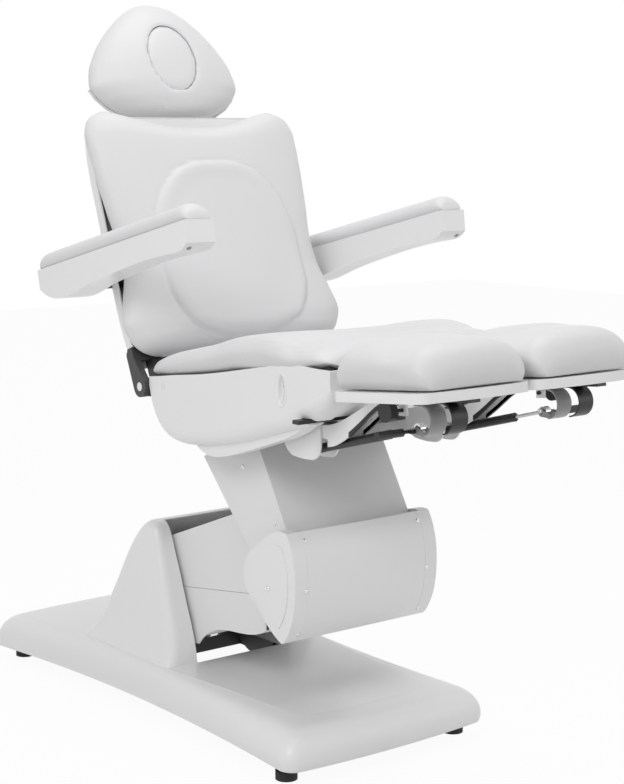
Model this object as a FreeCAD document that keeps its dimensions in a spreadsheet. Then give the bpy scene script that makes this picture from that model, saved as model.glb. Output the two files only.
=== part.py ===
import FreeCAD, Part
import math
import os
import re
from FreeCAD import Placement, Rotation, Vector

# Podiatry chair, in millimetres. +Z is up, the person faces -Y, +X is the person's left hand.
# The origin is on the floor under the middle of the chair. Side views are drawn in the Y-Z plane.

SIZES = {
    # Clearances shared by the whole chair
    "seat_gap": 0.3,
    "running_clearance": 0.05,
    "part_clearance": 1.0,
    "overrun": 20.0,
    # Floor base
    "base_front_reach": 415.0,
    "base_rear_reach": 828.0,
    "cover_seam_y": 125.0,
    "cover_lift": 35.0,
    "deck_top": 120.0,
    "base_front_half": 281.0,
    "base_front_mid_half": 262.0,
    "base_seam_half": 254.0,
    "base_rear_mid_half": 268.0,
    "base_rear_half": 308.0,
    "base_bow": 12.0,
    "base_corner": 34.0,
    "cover_wall": 4.0,
    "tower_front_y": 127.0,
    "tower_rear_y": 560.0,
    "tower_foot": 100.0,
    "tower_peak": 440.0,
    "tower_half": 240.0,
    "tower_corner": 26.0,
    "cavity_half": 140.0,
    "cavity_floor": 100.0,
    "rail_width": 40.0,
    "rail_height": 42.0,
    "rail_centre": 190.0,
    "rail_lift": 48.0,
    "front_bar_y": 350.0,
    "tail_bar_inset": 43.0,
    "tower_front_bar_y": 175.0,
    "tower_rear_bar_y": 405.0,
    "drive_bar_inset": 128.0,
    "end_bar_half": 262.0,
    "floor_sheet": 3.0,
    "foot_centre": 240.0,
    "foot_radius": 24.0,
    "foot_pad_depth": 20.0,
    "foot_stud_radius": 6.0,
    "foot_stud_length": 50.0,
    "plate_depth": 8.0,
    "thin_plate": 6.0,
    "tower_plate_centre": 151.0,
    "tower_plate_foot": 90.0,
    "tower_plate_head": 42.0,
    "box_length": 104.0,
    "box_width": 100.0,
    "box_height": 50.0,
    "box_centre_x": 84.0,
    "box_gap": 5.0,
    "inlet_width": 50.0,
    "inlet_height": 28.0,
    "inlet_pocket": 14.0,
    "inlet_centre_x": 110.0,
    "inlet_centre_z": 72.0,
    "inlet_pin": 2.0,
    # Lift pivots in the side view
    "tower_pivot_y": 290.0,
    "tower_pivot_z": 250.0,
    "knuckle_pivot_y": 210.0,
    "knuckle_pivot_z": 360.0,
    "mast_pivot_y": 240.0,
    "mast_pivot_z": 440.0,
    "carrier_pivot_y": 5.0,
    "carrier_pivot_z": 740.0,
    "lower_link_dy": 45.0,
    "lower_link_dz": 50.0,
    "upper_link_dy": 34.0,
    "upper_link_dz": 27.0,
    "upper_link_x": 46.0,
    "main_shaft_radius": 15.0,
    "shaft_radius": 12.0,
    "link_pin_radius": 6.0,
    "bush_wall": 8.0,
    "link_width": 22.0,
    "link_bar": 18.0,
    "upper_link_width": 12.0,
    "eye_radius": 14.0,
    "inner_plate_centre": 17.0,
    # Lower arm
    "arm_plate_centre": 104.0,
    "arm_plate_rear": 44.0,
    "arm_plate_front": 38.0,
    "arm_tie_radius": 16.0,
    "arm_cover_half": 130.0,
    "skin": 3.0,
    "arm_front_y": 130.0,
    "arm_rear_y": 336.0,
    "arm_belly_z": 152.0,
    "arm_crest_z": 520.0,
    "arm_seam_front_z": 338.0,
    "arm_seam_rear_z": 266.0,
    "lift_lever_dy": 20.0,
    "lift_lever_dz": 110.0,
    # Actuators
    "lift_mount_step": 40.0,
    "lift_mount_z": 74.0,
    "lift_tube_length": 215.0,
    "lift_tube_start": 18.0,
    "lift_rod_grip": 70.0,
    "lift_tube": 18.0,
    "lift_rod": 9.0,
    "lift_eye": 14.0,
    "lift_eye_hole": 10.0,
    "lift_pin": 6.0,
    "drive_block_half": 26.0,
    "drive_block_length": 60.0,
    "back_tube": 15.0,
    "back_rod": 8.0,
    "back_drive_x": 194.0,
    "back_tube_length": 290.0,
    "back_rod_grip": 80.0,
    "back_bore_length": 190.0,
    "back_eye": 15.0,
    "back_eye_hole": 10.5,
    "back_pin": 5.0,
    "back_eye_width": 14.0,
    "back_aim_drop": 3.6,
    "drive_motor_width": 26.0,
    "drive_motor_length": 90.0,
    "drive_motor_height": 34.0,
    # Knuckle housing
    "knuckle_half": 205.0,
    "cap_band": 38.0,
    "knuckle_rear_y": 146.0,
    "knuckle_depth": 186.0,
    "knuckle_bottom": 274.0,
    "knuckle_height": 244.0,
    "knuckle_wall": 4.0,
    "cap_step": 3.0,
    "cap_notch_half": 176.0,
    "cap_notch_y": 298.0,
    "cap_notch_z": 388.0,
    "front_cover_end_y": 250.0,
    "knuckle_plate_centre": 140.0,
    "knuckle_web_y": 300.0,
    "knuckle_web_z": 322.0,
    "knuckle_web_height": 46.0,
    "knuckle_web_depth": 10.0,
    # Upper arm
    "mast_half": 173.0,
    "mast_plate_centre": 156.0,
    "mast_plate_foot": 32.0,
    "mast_plate_head": 24.0,
    "mast_front_foot_y": 286.0,
    "mast_front_foot_z": 478.0,
    "mast_front_head_y": 144.0,
    "mast_front_head_z": 720.0,
    "mast_rear_foot_y": 130.0,
    "mast_rear_foot_z": 448.0,
    "mast_rear_head_y": 45.0,
    "mast_rear_head_z": 632.0,
    "mast_tie_reach": 262.0,
    "mast_top_tie_reach": 316.0,
    "mast_tie_radius": 13.0,
    "mast_boss_radius": 8.0,
    "mast_low_boss_reach": 96.0,
    "mast_high_boss_reach": 204.0,
    # Seat
    "back_hinge_y": 145.0,
    "back_hinge_z": 790.0,
    "seat_angle": 8.9,
    "pan_half": 270.0,
    "pan_front_y": 533.0,
    "pan_rear_y": 119.0,
    "pan_low_z": 672.0,
    "pan_high_z": 898.0,
    "pan_round": 34.0,
    "pan_wall": 4.0,
    "under_half": 244.0,
    "well_half": 205.0,
    "well_front_y": 470.0,
    "pan_door_half": 264.0,
    "pan_door_z": 700.0,
    "grip_depth": 2.6,
    "grip_width": 34.0,
    "grip_height": 60.0,
    "grip_y": 384.0,
    "grip_z": 842.0,
    "tilt_pivot_y": 60.0,
    "tilt_pivot_z": 765.0,
    "tilt_pin": 10.0,
    "carrier_plate_centre": 144.0,
    "carrier_hub": 20.0,
    "tilt_lug": 17.0,
    "tilt_lug_centre": 154.5,
    "tilt_lug_rise": 45.0,
    "back_mount_y": 330.0,
    "back_mount_z": 808.0,
    "back_lug_radius": 12.0,
    "back_lug_dy": 58.0,
    "back_lug_dz": 52.0,
    "back_lever_dy": 28.0,
    "back_lever_dz": 48.5,
    "seat_rail_centre": 247.0,
    "seat_rail_width": 26.0,
    "seat_rail_height": 24.0,
    "seat_rail_length": 600.0,
    "seat_hub": 19.0,
    "seat_bar_width": 30.0,
    "tilt_bar_start": 194.0,
    "front_bar_start": 530.0,
    "board_half": 250.0,
    "board_depth": 12.0,
    "board_start": 30.0,
    "board_length": 630.0,
    "seat_cushion_half": 288.0,
    "seat_cushion_start": 14.0,
    "seat_cushion_length": 664.0,
    "seat_cushion_height": 88.0,
    "seat_tuck": 46.0,
    # Backrest, in its own leaning frame
    "back_angle": 21.5,
    "back_half": 314.0,
    "back_cushion_start": 60.0,
    "cushion_over": 25.0,
    "back_cushion_depth": 88.0,
    "back_cushion_rear": 6.0,
    "back_tuck": 22.0,
    "top_dip": 56.0,
    "top_dip_half": 240.0,
    "panel_half": 200.0,
    "panel_start": 76.0,
    "panel_length": 446.0,
    "panel_raise": 4.0,
    "shell_half": 283.0,
    "shell_start": 46.0,
    "shell_length": 596.0,
    "shell_depth": 46.0,
    "shell_round": 30.0,
    "shell_wall": 4.0,
    "upright_centre": 220.0,
    "upright_width": 24.0,
    "upright_depth": 20.0,
    "upright_start": 62.0,
    "upright_top_gap": 80.0,
    "back_bar_height": 30.0,
    "sheet_half": 238.0,
    "hinge_shaft_radius": 10.0,
    "cheek_radius": 24.0,
    "cheek_outer_centre": 272.0,
    "cheek_outer_width": 16.0,
    "cheek_neck": 12.0,
    "back_lever_width": 12.0,
    "back_lever_x": 208.0,
    # Headrest, in the backrest's frame
    "head_half": 216.0,
    "head_rise": 4.0,
    "head_length": 322.0,
    "head_depth": 90.0,
    "head_set_back": 64.0,
    "head_tuck": 20.0,
    "head_plate": 10.0,
    "head_plate_rise": 14.0,
    "head_plate_length": 240.0,
    "head_plate_half": 176.0,
    "head_bar_centre": 76.0,
    "head_bar_radius": 6.0,
    "head_bar_depth": 242.0,
    "head_pivot_rise": 78.0,
    "head_bar_y": 88.0,
    "head_hinge_radius": 7.0,
    "head_hinge_half": 92.0,
    "head_lug_centre": 52.0,
    "head_lug_width": 14.0,
    "head_lug_radius": 12.0,
    "socket_wall": 4.0,
    "socket_arm_half": 8.0,
    "socket_depth": 142.0,
    "socket_length": 78.0,
    "plug_half": 66.0,
    "plug_rise": 68.0,
    "plug_length": 171.0,
    "plug_gap": 1.0,
    "plug_depth": 58.0,
    "plug_raise": 2.0,
    # Armrests
    "arm_pivot_y": 261.0,
    "arm_pivot_z": 1017.0,
    "armrest_inner": 316.0,
    "armrest_width": 74.0,
    "armrest_rear_y": 405.0,
    "armrest_rear_z": 1044.0,
    "armrest_length": 627.0,
    "armrest_angle": 13.0,
    "armrest_drop": 80.0,
    "armrest_wall": 3.5,
    "pad_height": 37.0,
    "pad_tuck": 5.0,
    "arm_tube_radius": 11.0,
    "arm_pin_radius": 8.0,
    "arm_pin_reach": 22.0,
    "arm_boss_radius": 15.0,
    # Leg rests
    "leg_centre": 150.0,
    "leg_half": 145.0,
    "leg_rear_y": 562.0,
    "leg_length": 268.0,
    "leg_bow": 12.0,
    "leg_rear_z": 862.0,
    "leg_angle": 5.5,
    "tray_depth": 20.0,
    "tray_corner": 26.0,
    "leg_cushion_height": 95.0,
    "leg_tuck": 14.0,
    "hardware_x": 172.0,
    "swing_pivot_y": 400.0,
    "swing_pin": 10.0,
    "swing_pin_length": 58.0,
    "swing_tube_wall": 6.0,
    "swing_tube_length": 74.0,
    "swing_tube_lift": 4.0,
    "bracket_top": 778.0,
    "bracket_height": 90.0,
    "bracket_rear_y": 285.0,
    "bracket_length": 128.0,
    "bracket_half": 26.0,
    "bracket_wall": 4.0,
    "bracket_roof": 8.0,
    "leg_pivot_y": 390.0,
    "leg_pivot_z": 750.0,
    "leg_pin": 6.0,
    "leg_arm_half": 21.0,
    "leg_arm_wall": 4.0,
    "leg_arm_reach": 250.0,
    "leg_arm_height": 118.0,
    "leg_arm_drop": 28.0,
    "pin_notch_front": 40.0,
    "pin_notch_length": 26.0,
    "pin_notch_height": 16.0,
    "leg_plate_half": 20.0,
    "leg_plate_start": 20.0,
    "leg_plate_length": 145.0,
    "leg_plate_depth": 5.4,
    "leg_lip": 3.0,
    "leg_lip_start": 60.0,
    "spring_anchor_dy": 5.0,
    "spring_anchor_dz": 38.0,
    "spring_eye_y": 690.0,
    "spring_eye_z": 790.0,
    "spring_tube": 9.5,
    "spring_rod": 4.0,
    "spring_tube_length": 226.0,
    "spring_bore_length": 130.0,
    "spring_rod_grip": 70.0,
    "spring_base_ring": 10.0,
    "spring_ring": 10.5,
    "spring_hole": 7.0,
    "spring_ring_width": 14.0,
    "spring_pin": 2.5,
    "spring_aim_lift": 3.2,
    "anchor_pin": 4.0,
    "strap_width": 40.0,
    "strap_metal": 3.0,
    "strap_radius": 31.0,
    "grey_strap_w": 146.0,
    "black_strap_w": 206.0,
    "strap_flange": 18.0,
    "ear_centre": 11.0,
    "ear_metal": 3.0,
    "ear_radius": 7.0,
    "rail_bar_half": 13.0,
    "rail_bar_depth": 6.0,
    "rail_bar_start": 40.0,
    "rail_bar_length": 240.0,
    "knob_radius": 20.0,
    "knob_depth": 18.0,
    "knob_w": 94.0,
    "knob_drop": 44.0,
    "knob_x": 56.0,
    "knob_rod": 4.0,
    "knob_rod_start": 8.0,
    "knob_lug_width": 6.0,
    "knob_lug_half": 11.0,
    "grip_radius": 8.0,
    "grip_length": 64.0,
    "grip_start": 46.0,
    "grip_rod": 3.5,
    "grip_hub_radius": 6.0,
    "grip_hub_length": 8.0,
    "lock_y": 445.0,
    "lock_z": 785.0,
    "lock_inner_x": 112.0,
    "lock_length": 176.0,
    "lock_height": 8.0,
    "lock_width": 20.0,
    "lock_room": 1.5,
    "guide_inner_x": 104.0,
    "guide_length": 36.0,
    "guide_front_y": 458.0,
    "guide_depth": 62.0,
    "guide_foot": 775.0,
    "guide_height": 85.0,
}

# Places and lengths that follow from the sizes above
FOLLOWING = {
    "tail_bar_y": "base_rear_reach - tail_bar_inset",
    "drive_bar_y": "base_rear_reach - drive_bar_inset",
    "box_start_y": "drive_bar_y - rail_width / 2 - box_gap - box_length",
    "lift_mount_y": "drive_bar_y - lift_mount_step",
    "shell_top": "shell_start + shell_length",
    "back_cushion_length": "shell_top + cushion_over - back_cushion_start",
    "upright_length": "shell_top - upright_top_gap - upright_start",
    "head_start": "shell_top + head_rise",
    "head_plate_start": "shell_top + head_plate_rise",
    "head_bar_start": "shell_top - head_bar_depth",
    "head_pivot": "shell_top + head_pivot_rise",
    "socket_start": "shell_top - socket_depth",
    "plug_start": "head_start + plug_rise",
}

doc = FreeCAD.newDocument("PodiatryChair")
sheet = doc.addObject("Spreadsheet::Sheet", "Sizes")
cells = [(alias, str(value)) for alias, value in SIZES.items()]
cells += [(alias, "=" + formula) for alias, formula in FOLLOWING.items()]
for row, (alias, content) in enumerate(cells, start=1):
    sheet.set("A%d" % row, alias)
    sheet.setAlias("B%d" % row, alias)
    sheet.set("B%d" % row, content)
doc.recompute()

nodes = []
X_AXIS = Vector(1, 0, 0)
Y_AXIS = Vector(0, 1, 0)
Z_AXIS = Vector(0, 0, 1)
CENTRE = Vector(0, 0, 0)
WORLD = Placement()


def spelled(text):
    """Every word in the text is a size's name in the sheet."""
    return re.sub(r"[a-z][a-z_]*", lambda word: "Sizes." + word.group(), text)


def num(text):
    return float(sheet.evalExpression(spelled(text)))


def point(x, y, z):
    return Vector(num(x), num(y), num(z))


def side(y, z):
    return Vector(0, y, z)


def spot(y, z):
    return side(num(y), num(z))


def keep(piece, label):
    piece.Label = label
    nodes.append(piece)
    return piece


# Pieces of the document

def box(name, size, corner, frame=WORLD):
    """A block; size and corner name their three lengths, corner is its lowest one."""
    piece = doc.addObject("Part::Box", name)
    for side_name, text in zip(("Length", "Width", "Height"), size):
        piece.setExpression(side_name, spelled(text))
    piece.Placement = frame.multiply(Placement(point(*corner), Rotation()))
    return piece


def round_bar(name, radius, length, centre, x="0", frame=WORLD):
    """A round bar across the chair, with its middle at x."""
    piece = doc.addObject("Part::Cylinder", name)
    piece.setExpression("Radius", spelled(radius))
    piece.setExpression("Height", spelled(length))
    start = Vector(num(x) - num(length) / 2, centre.y, centre.z)
    piece.Placement = frame.multiply(Placement(start, Rotation(Z_AXIS, X_AXIS)))
    return piece


def round_rod(name, radius, length, start, direction):
    """A round bar from a point along a direction."""
    piece = doc.addObject("Part::Cylinder", name)
    piece.setExpression("Radius", spelled(radius))
    piece.setExpression("Height", spelled(length))
    piece.Placement = Placement(start, Rotation(Z_AXIS, direction))
    return piece


def round_run(name, radius, start, end):
    """A round bar between two points that other sizes give."""
    piece = doc.addObject("Part::Cylinder", name)
    piece.setExpression("Radius", spelled(radius))
    piece.Height = (end - start).Length
    piece.Placement = Placement(start, Rotation(Z_AXIS, end - start))
    return piece


def capsule(start, end, start_radius, end_radius):
    """Side outline of a lever: round ends about two points, joined by straight sides."""
    way = end - start
    turn = math.atan2(way.z, way.y)
    opening = math.acos((start_radius - end_radius) / way.Length)

    def rim(centre, radius, angle):
        return centre + side(radius * math.cos(angle), radius * math.sin(angle))

    tail = [rim(start, start_radius, turn + angle) for angle in (opening, math.pi, -opening)]
    head = [rim(end, end_radius, turn + angle) for angle in (-opening, 0, opening)]
    return [tail, [tail[2], head[0]], head, [head[2], tail[0]]], (0, 2)


def edge_through(points, arc=False):
    if len(points) == 2:
        return Part.LineSegment(points[0], points[1])
    if arc:
        return Part.Arc(points[0], points[1], points[2])
    curve = Part.BSplineCurve()
    curve.interpolate(points)
    return curve


def plane_of(body, role):
    return [item for item in body.Origin.OriginFeatures if item.Role == role][0]


def plate(name, runs, depth, x="0", arcs=(), frame=WORLD):
    """A plate or bar: a sketched side view, padded evenly about x."""
    body = doc.addObject("PartDesign::Body", name)
    sketch = body.newObject("Sketcher::SketchObject", name + "_outline")
    sketch.AttachmentSupport = [(plane_of(body, "YZ_Plane"), "")]
    sketch.MapMode = "FlatFace"
    for index, run in enumerate(runs):
        flat = [Vector(place.y, place.z, 0) for place in run]
        sketch.addGeometry(edge_through(flat, index in arcs), False)
    pad = body.newObject("PartDesign::Pad", name + "_pad")
    pad.Profile = sketch
    pad.SideType = "Symmetric"
    pad.setExpression("Length", spelled(depth))
    body.Placement = frame.multiply(Placement(Vector(num(x), 0, 0), Rotation()))
    return body


def lever(name, start, end, start_radius, end_radius, depth, x="0", frame=WORLD):
    runs, arcs = capsule(start, end, num(start_radius), num(end_radius))
    return plate(name, runs, depth, x, arcs, frame)


def mirror(piece):
    twin = doc.addObject("Part::Mirroring", piece.Name + "_twin")
    twin.Source = piece
    twin.Normal = X_AXIS
    twin.Base = CENTRE
    return twin


def pair(piece):
    return [piece, mirror(piece)]


def joined(name, pieces):
    if len(pieces) == 1:
        return pieces[0]
    whole = doc.addObject("Part::MultiFuse", name)
    whole.Shapes = pieces
    return whole


def weldment(name, pieces, cutters=()):
    """Pieces joined into one, less what the cutters take away."""
    whole = joined(name + "_whole", pieces)
    if cutters:
        cut = doc.addObject("Part::Cut", name + "_cut")
        cut.Base = whole
        cut.Tool = joined(name + "_holes", cutters)
        whole = cut
    return whole


def weld(label, pieces, cutters=()):
    return keep(weldment(label, pieces, cutters), label)


def group(label, pieces):
    """Alike pieces that share a node without touching."""
    whole = doc.addObject("Part::Compound", label)
    whole.Links = pieces
    return keep(whole, label)


def shaped(label, shape, frame=WORLD):
    """A moulding or a cushion, whose form is a loft."""
    piece = doc.addObject("Part::Feature", label)
    piece.Shape = shape
    piece.Placement = frame
    return keep(piece, label)


# Shapes of mouldings

def wire_of(runs, arcs=()):
    curves = [edge_through(run, index in arcs) for index, run in enumerate(runs)]
    return Part.Wire([curve.toShape() for curve in curves])


def loop(corners):
    return [[corners[i - 1], corners[i]] for i in range(len(corners))]


def slab(wire, low_x, high_x):
    face = Part.Face(wire)
    face.translate(Vector(low_x, 0, 0))
    return face.extrude(Vector(high_x - low_x, 0, 0))


def shrunk(wire, share, low_x, high_x):
    """A slab of the outline drawn smaller about its own middle."""
    outline = wire.copy()
    outline.scale(share, wire.BoundBox.Center)
    return slab(outline, low_x, high_x)


def block(low, high):
    size = high - low
    return Part.makeBox(size.x, size.y, size.z, low)


def bar_x(radius, centre, low_x, high_x):
    return Part.makeCylinder(radius, high_x - low_x, Vector(low_x, centre.y, centre.z), X_AXIS)


def flipped(shape):
    return shape.mirror(CENTRE, X_AXIS)


def both(shape):
    return [shape, flipped(shape)]


def fuse_all(shapes):
    return shapes[0].multiFuse(shapes[1:]).removeSplitter()


def loft(wires):
    return Part.makeLoft(wires, True, False)


def in_box(shares, rear_y, depth, low_z, height):
    """Side-view points from shares of a box: forward from its rear, up from its foot."""
    return [side(rear_y - forward * depth, low_z + up * height) for forward, up in shares]


# Places in the side view

TOWER_PIVOT = spot("tower_pivot_y", "tower_pivot_z")
KNUCKLE_PIVOT = spot("-knuckle_pivot_y", "knuckle_pivot_z")
MAST_PIVOT = spot("-mast_pivot_y", "mast_pivot_z")
CARRIER_PIVOT = spot("carrier_pivot_y", "carrier_pivot_z")
LOWER_STEP = spot("lower_link_dy", "lower_link_dz")
UPPER_STEP = spot("-upper_link_dy", "upper_link_dz")
LIFT_MOUNT = spot("lift_mount_y", "lift_mount_z")
LIFT_TIP = TOWER_PIVOT + spot("-lift_lever_dy", "-lift_lever_dz")
BACK_HINGE = spot("back_hinge_y", "back_hinge_z")
TILT_PIVOT = spot("-tilt_pivot_y", "tilt_pivot_z")
BACK_MOUNT = spot("-back_mount_y", "back_mount_z")
BACK_TIP = BACK_HINGE + spot("back_lever_dy", "-back_lever_dz")
LEG_PIVOT = spot("-leg_pivot_y", "leg_pivot_z")
SPRING_ANCHOR = LEG_PIVOT + spot("spring_anchor_dy", "-spring_anchor_dz")
SPRING_EYE = spot("-spring_eye_y", "spring_eye_z")
ARM_PIVOT = spot("arm_pivot_y", "arm_pivot_z")

BACK_FRAME = Placement(BACK_HINGE, Rotation(X_AXIS, -num("back_angle")))
SEAT_FRAME = Placement(BACK_HINGE, Rotation(X_AXIS, -num("seat_angle")))
LEG_REAR = spot("-leg_rear_y", "leg_rear_z")
LEG_FRAME = Placement(LEG_REAR, Rotation(X_AXIS, -num("leg_angle")))
ARM_FRAME = Placement(spot("armrest_rear_y", "armrest_rear_z"),
                      Rotation(X_AXIS, -num("armrest_angle")))


def local(frame, place):
    return frame.inverse().multVec(place)


# Floor base: frame

def base_bar(name, y, half):
    return box(name, ("2 * (%s)" % half, "rail_width", "rail_height"),
               ("-(%s)" % half, "%s - rail_width / 2" % y, "rail_lift"))


tower_plate = lever("tower_plate", spot("tower_pivot_y", "rail_lift + tower_plate_foot"), TOWER_PIVOT,
                    "tower_plate_foot", "tower_plate_head", "plate_depth", "tower_plate_centre")
link_post = lever("link_post", spot("tower_rear_bar_y", "rail_lift + rail_height / 2"),
                  TOWER_PIVOT + LOWER_STEP, "rail_width / 2", "eye_radius", "thin_plate",
                  "inner_plate_centre")
rail = box("base_rail", ("rail_width", "front_bar_y + tail_bar_y", "rail_height"),
           ("rail_centre - rail_width / 2", "-front_bar_y", "rail_lift"))
plate_stay = box("plate_stay", ("rail_centre - tower_plate_centre", "2 * tower_plate_foot", "thin_plate"),
                 ("tower_plate_centre", "tower_pivot_y - tower_plate_foot",
                  "rail_lift + rail_height - thin_plate"))
floor_sheet = box("floor_sheet_panel", ("2 * rail_centre", "drive_bar_y - tower_rear_bar_y", "floor_sheet"),
                  ("-rail_centre", "tower_rear_bar_y", "rail_lift"))
frame_pieces = (pair(rail) + pair(tower_plate) + pair(link_post) + pair(plate_stay) + [floor_sheet]
                + [base_bar("front_bar", "-front_bar_y", "end_bar_half"),
                   base_bar("tail_bar", "tail_bar_y", "end_bar_half"),
                   base_bar("tower_front_bar", "tower_front_bar_y", "rail_centre"),
                   base_bar("tower_rear_bar", "tower_rear_bar_y", "rail_centre"),
                   base_bar("drive_bar", "drive_bar_y", "rail_centre")])
FOOT_PLACES = [("foot_centre", "-front_bar_y"), ("-foot_centre", "-front_bar_y"),
               ("foot_centre", "tail_bar_y"), ("-foot_centre", "tail_bar_y")]
frame_holes = [round_bar("main_bore", "main_shaft_radius + running_clearance",
                         "2 * tower_plate_centre + 2 * overrun", TOWER_PIVOT),
               round_bar("link_bore", "link_pin_radius + running_clearance",
                         "2 * inner_plate_centre + overrun", TOWER_PIVOT + LOWER_STEP)]
feet = []
for index, (x, y) in enumerate(FOOT_PLACES):
    stud_foot = point(x, y, "foot_pad_depth")
    foot_pad = round_rod("foot_pad_%d" % index, "foot_radius", "foot_pad_depth", point(x, y, "0"), Z_AXIS)
    stud = round_rod("foot_stud_%d" % index, "foot_stud_radius", "foot_stud_length", stud_foot, Z_AXIS)
    feet.append(joined("foot_%d" % index, [foot_pad, stud]))
    frame_holes.append(round_rod("stud_hole_%d" % index, "foot_stud_radius + running_clearance",
                                 "foot_stud_length + seat_gap", stud_foot, Z_AXIS))
weld("base_frame", frame_pieces, frame_holes)
group("levelling_feet", feet)
group("tower_shafts", [
    round_bar("main_shaft", "main_shaft_radius", "2 * tower_plate_centre + plate_depth + thin_plate",
              TOWER_PIVOT),
    round_bar("link_shaft", "link_pin_radius", "2 * inner_plate_centre + 2 * thin_plate",
              TOWER_PIVOT + LOWER_STEP)])

# Floor base: control box and mains inlet

weld("control_box", [
    box("box_body", ("box_width", "box_length", "box_height"),
        ("box_centre_x - box_width / 2", "box_start_y", "rail_lift + floor_sheet + seat_gap")),
    box("box_lid", ("box_width + 2 * skin", "box_length + 2 * skin", "skin"),
        ("box_centre_x - box_width / 2 - skin", "box_start_y - skin",
         "rail_lift + floor_sheet + seat_gap + box_height"))])

inlet_rear = "(base_rear_reach + base_bow)"
inlet_front = "(tail_bar_y + rail_width / 2 + seat_gap)"
inlet_body = box("inlet_body", ("inlet_width", "%s - %s" % (inlet_rear, inlet_front), "inlet_height"),
                 ("-inlet_centre_x - inlet_width / 2", inlet_front, "inlet_centre_z - inlet_height / 2"))
inlet_pocket = box("inlet_pocket_room", ("inlet_width - 2 * cover_wall", "inlet_pocket + overrun",
                                         "inlet_height - 2 * cover_wall"),
                   ("-inlet_centre_x - inlet_width / 2 + cover_wall", "%s - inlet_pocket" % inlet_rear,
                    "inlet_centre_z - inlet_height / 2 + cover_wall"))
inlet_shell = weldment("inlet_shell", [inlet_body], [inlet_pocket])
inlet_pins = [round_rod("inlet_pin_%d" % index, "inlet_pin", "inlet_pocket",
                        point("-inlet_centre_x + (%d) * inlet_width / 5" % (index - 1),
                              "%s - inlet_pocket - inlet_pin" % inlet_rear, "inlet_centre_z"), Y_AXIS)
              for index in range(3)]
weld("mains_inlet", [inlet_shell] + inlet_pins)

# Floor base: covers

# Height share, then shares of the reach and of the half widths at the end, the middle and the seam
FRONT_COVER_SHARES = [
    (0.000, 1.000, 1.000, 1.000, 1.000),
    (0.530, 0.993, 0.986, 0.989, 0.992),
    (0.812, 0.952, 0.907, 0.939, 0.969),
    (0.953, 0.880, 0.783, 0.847, 0.929),
    (1.000, 0.807, 0.665, 0.763, 0.886),
]
REAR_COVER_SHARES = [
    (0.000, 1.000, 1.000, 1.000, 1.000),
    (0.530, 0.991, 0.987, 0.993, 0.992),
    (0.812, 0.967, 0.948, 0.963, 0.969),
    (0.953, 0.940, 0.893, 0.918, 0.929),
    (1.000, 0.911, 0.828, 0.877, 0.886),
]
TURN_SHARE = 0.3


def cover_outline(level, end_y, seam_y, end_half, mid_half, seam_half, bow, corner):
    """Plan outline of a base cover: a straight seam, drawn-in sides and a bowed outer end."""
    way = math.copysign(1, end_y - seam_y)

    def rim(sign):
        return [Vector(sign * seam_half, seam_y, level),
                Vector(sign * mid_half, (seam_y + end_y) / 2, level),
                Vector(sign * end_half, end_y - way * corner, level),
                Vector(sign * (end_half - TURN_SHARE * corner), end_y - way * TURN_SHARE * corner, level),
                Vector(sign * (end_half - corner), end_y, level)]

    right = rim(1)
    left = rim(-1)
    nose = Vector(0, end_y + way * bow, level)
    return wire_of([[left[0], right[0]], right[:3], right[2:], [right[4], nose, left[4]],
                    left[:1:-1], left[2::-1]], arcs=(2, 3, 4))


def cover_body(shares, end_y, end_half, mid_half, inset):
    """The outside of a base cover or, with an inset, the hollow under it."""
    seam_y = num("cover_seam_y")
    way = math.copysign(1, end_y - seam_y)
    low = num("cover_lift")
    wires = []
    for rise, reach, end, middle, seam in shares:
        level = low + rise * (num("deck_top") - low - inset)
        wires.append(cover_outline(level, reach * end_y - way * inset, seam_y, end * end_half - inset,
                                   middle * mid_half - inset, seam * num("base_seam_half") - inset,
                                   num("base_bow"), num("base_corner")))
    return loft(wires)


# Height share, front and rear as shares of the tower's depth behind its front, half width share
TOWER_SHARES = [
    (0.000, 0.000, 1.000, 1.000),
    (0.074, 0.006, 0.889, 0.933),
    (0.176, 0.021, 0.804, 0.879),
    (0.332, 0.062, 0.723, 0.850),
    (0.541, 0.127, 0.630, 0.825),
    (0.721, 0.182, 0.554, 0.804),
    (0.882, 0.233, 0.473, 0.779),
    (0.971, 0.272, 0.404, 0.742),
    (1.000, 0.303, 0.372, 0.688),
]


def rounded_plan(level, half, near, far, corner):
    """A rectangle with round corners, level, symmetric about the chair's middle."""
    lean = TURN_SHARE * corner

    def at(x, y):
        return Vector(x, y, level)

    return wire_of([
        [at(-half + corner, near), at(half - corner, near)],
        [at(half - corner, near), at(half - lean, near + lean), at(half, near + corner)],
        [at(half, near + corner), at(half, far - corner)],
        [at(half, far - corner), at(half - lean, far - lean), at(half - corner, far)],
        [at(half - corner, far), at(-half + corner, far)],
        [at(-half + corner, far), at(-half + lean, far - lean), at(-half, far - corner)],
        [at(-half, far - corner), at(-half, near + corner)],
        [at(-half, near + corner), at(-half + lean, near + lean), at(-half + corner, near)],
    ], arcs=(1, 3, 5, 7))


def tower_body(inset):
    low = num("tower_foot")
    height = num("tower_peak") - low
    front_y = num("tower_front_y")
    depth = num("tower_rear_y") - front_y
    wires = []
    for rise, front, rear, half_share in TOWER_SHARES:
        level = low + rise * (height - inset)
        near = front_y + front * depth + inset
        far = front_y + rear * depth - inset
        corner = min(num("tower_corner"), (far - near) / 3)
        wires.append(rounded_plan(level, half_share * num("tower_half") - inset, near, far, corner))
    return loft(wires)


def rail_ribs(outside, y_places):
    """Ribs under a base cover that stand on the frame's rails."""
    ribs = []
    for y in y_places:
        low = point("rail_centre - rail_width / 2", "(%s) - cover_wall / 2" % y,
                    "rail_lift + rail_height + seat_gap")
        high = point("rail_centre + rail_width / 2", "(%s) + cover_wall / 2" % y, "deck_top + overrun")
        ribs += both(block(low, high).common(outside))
    return ribs


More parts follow.
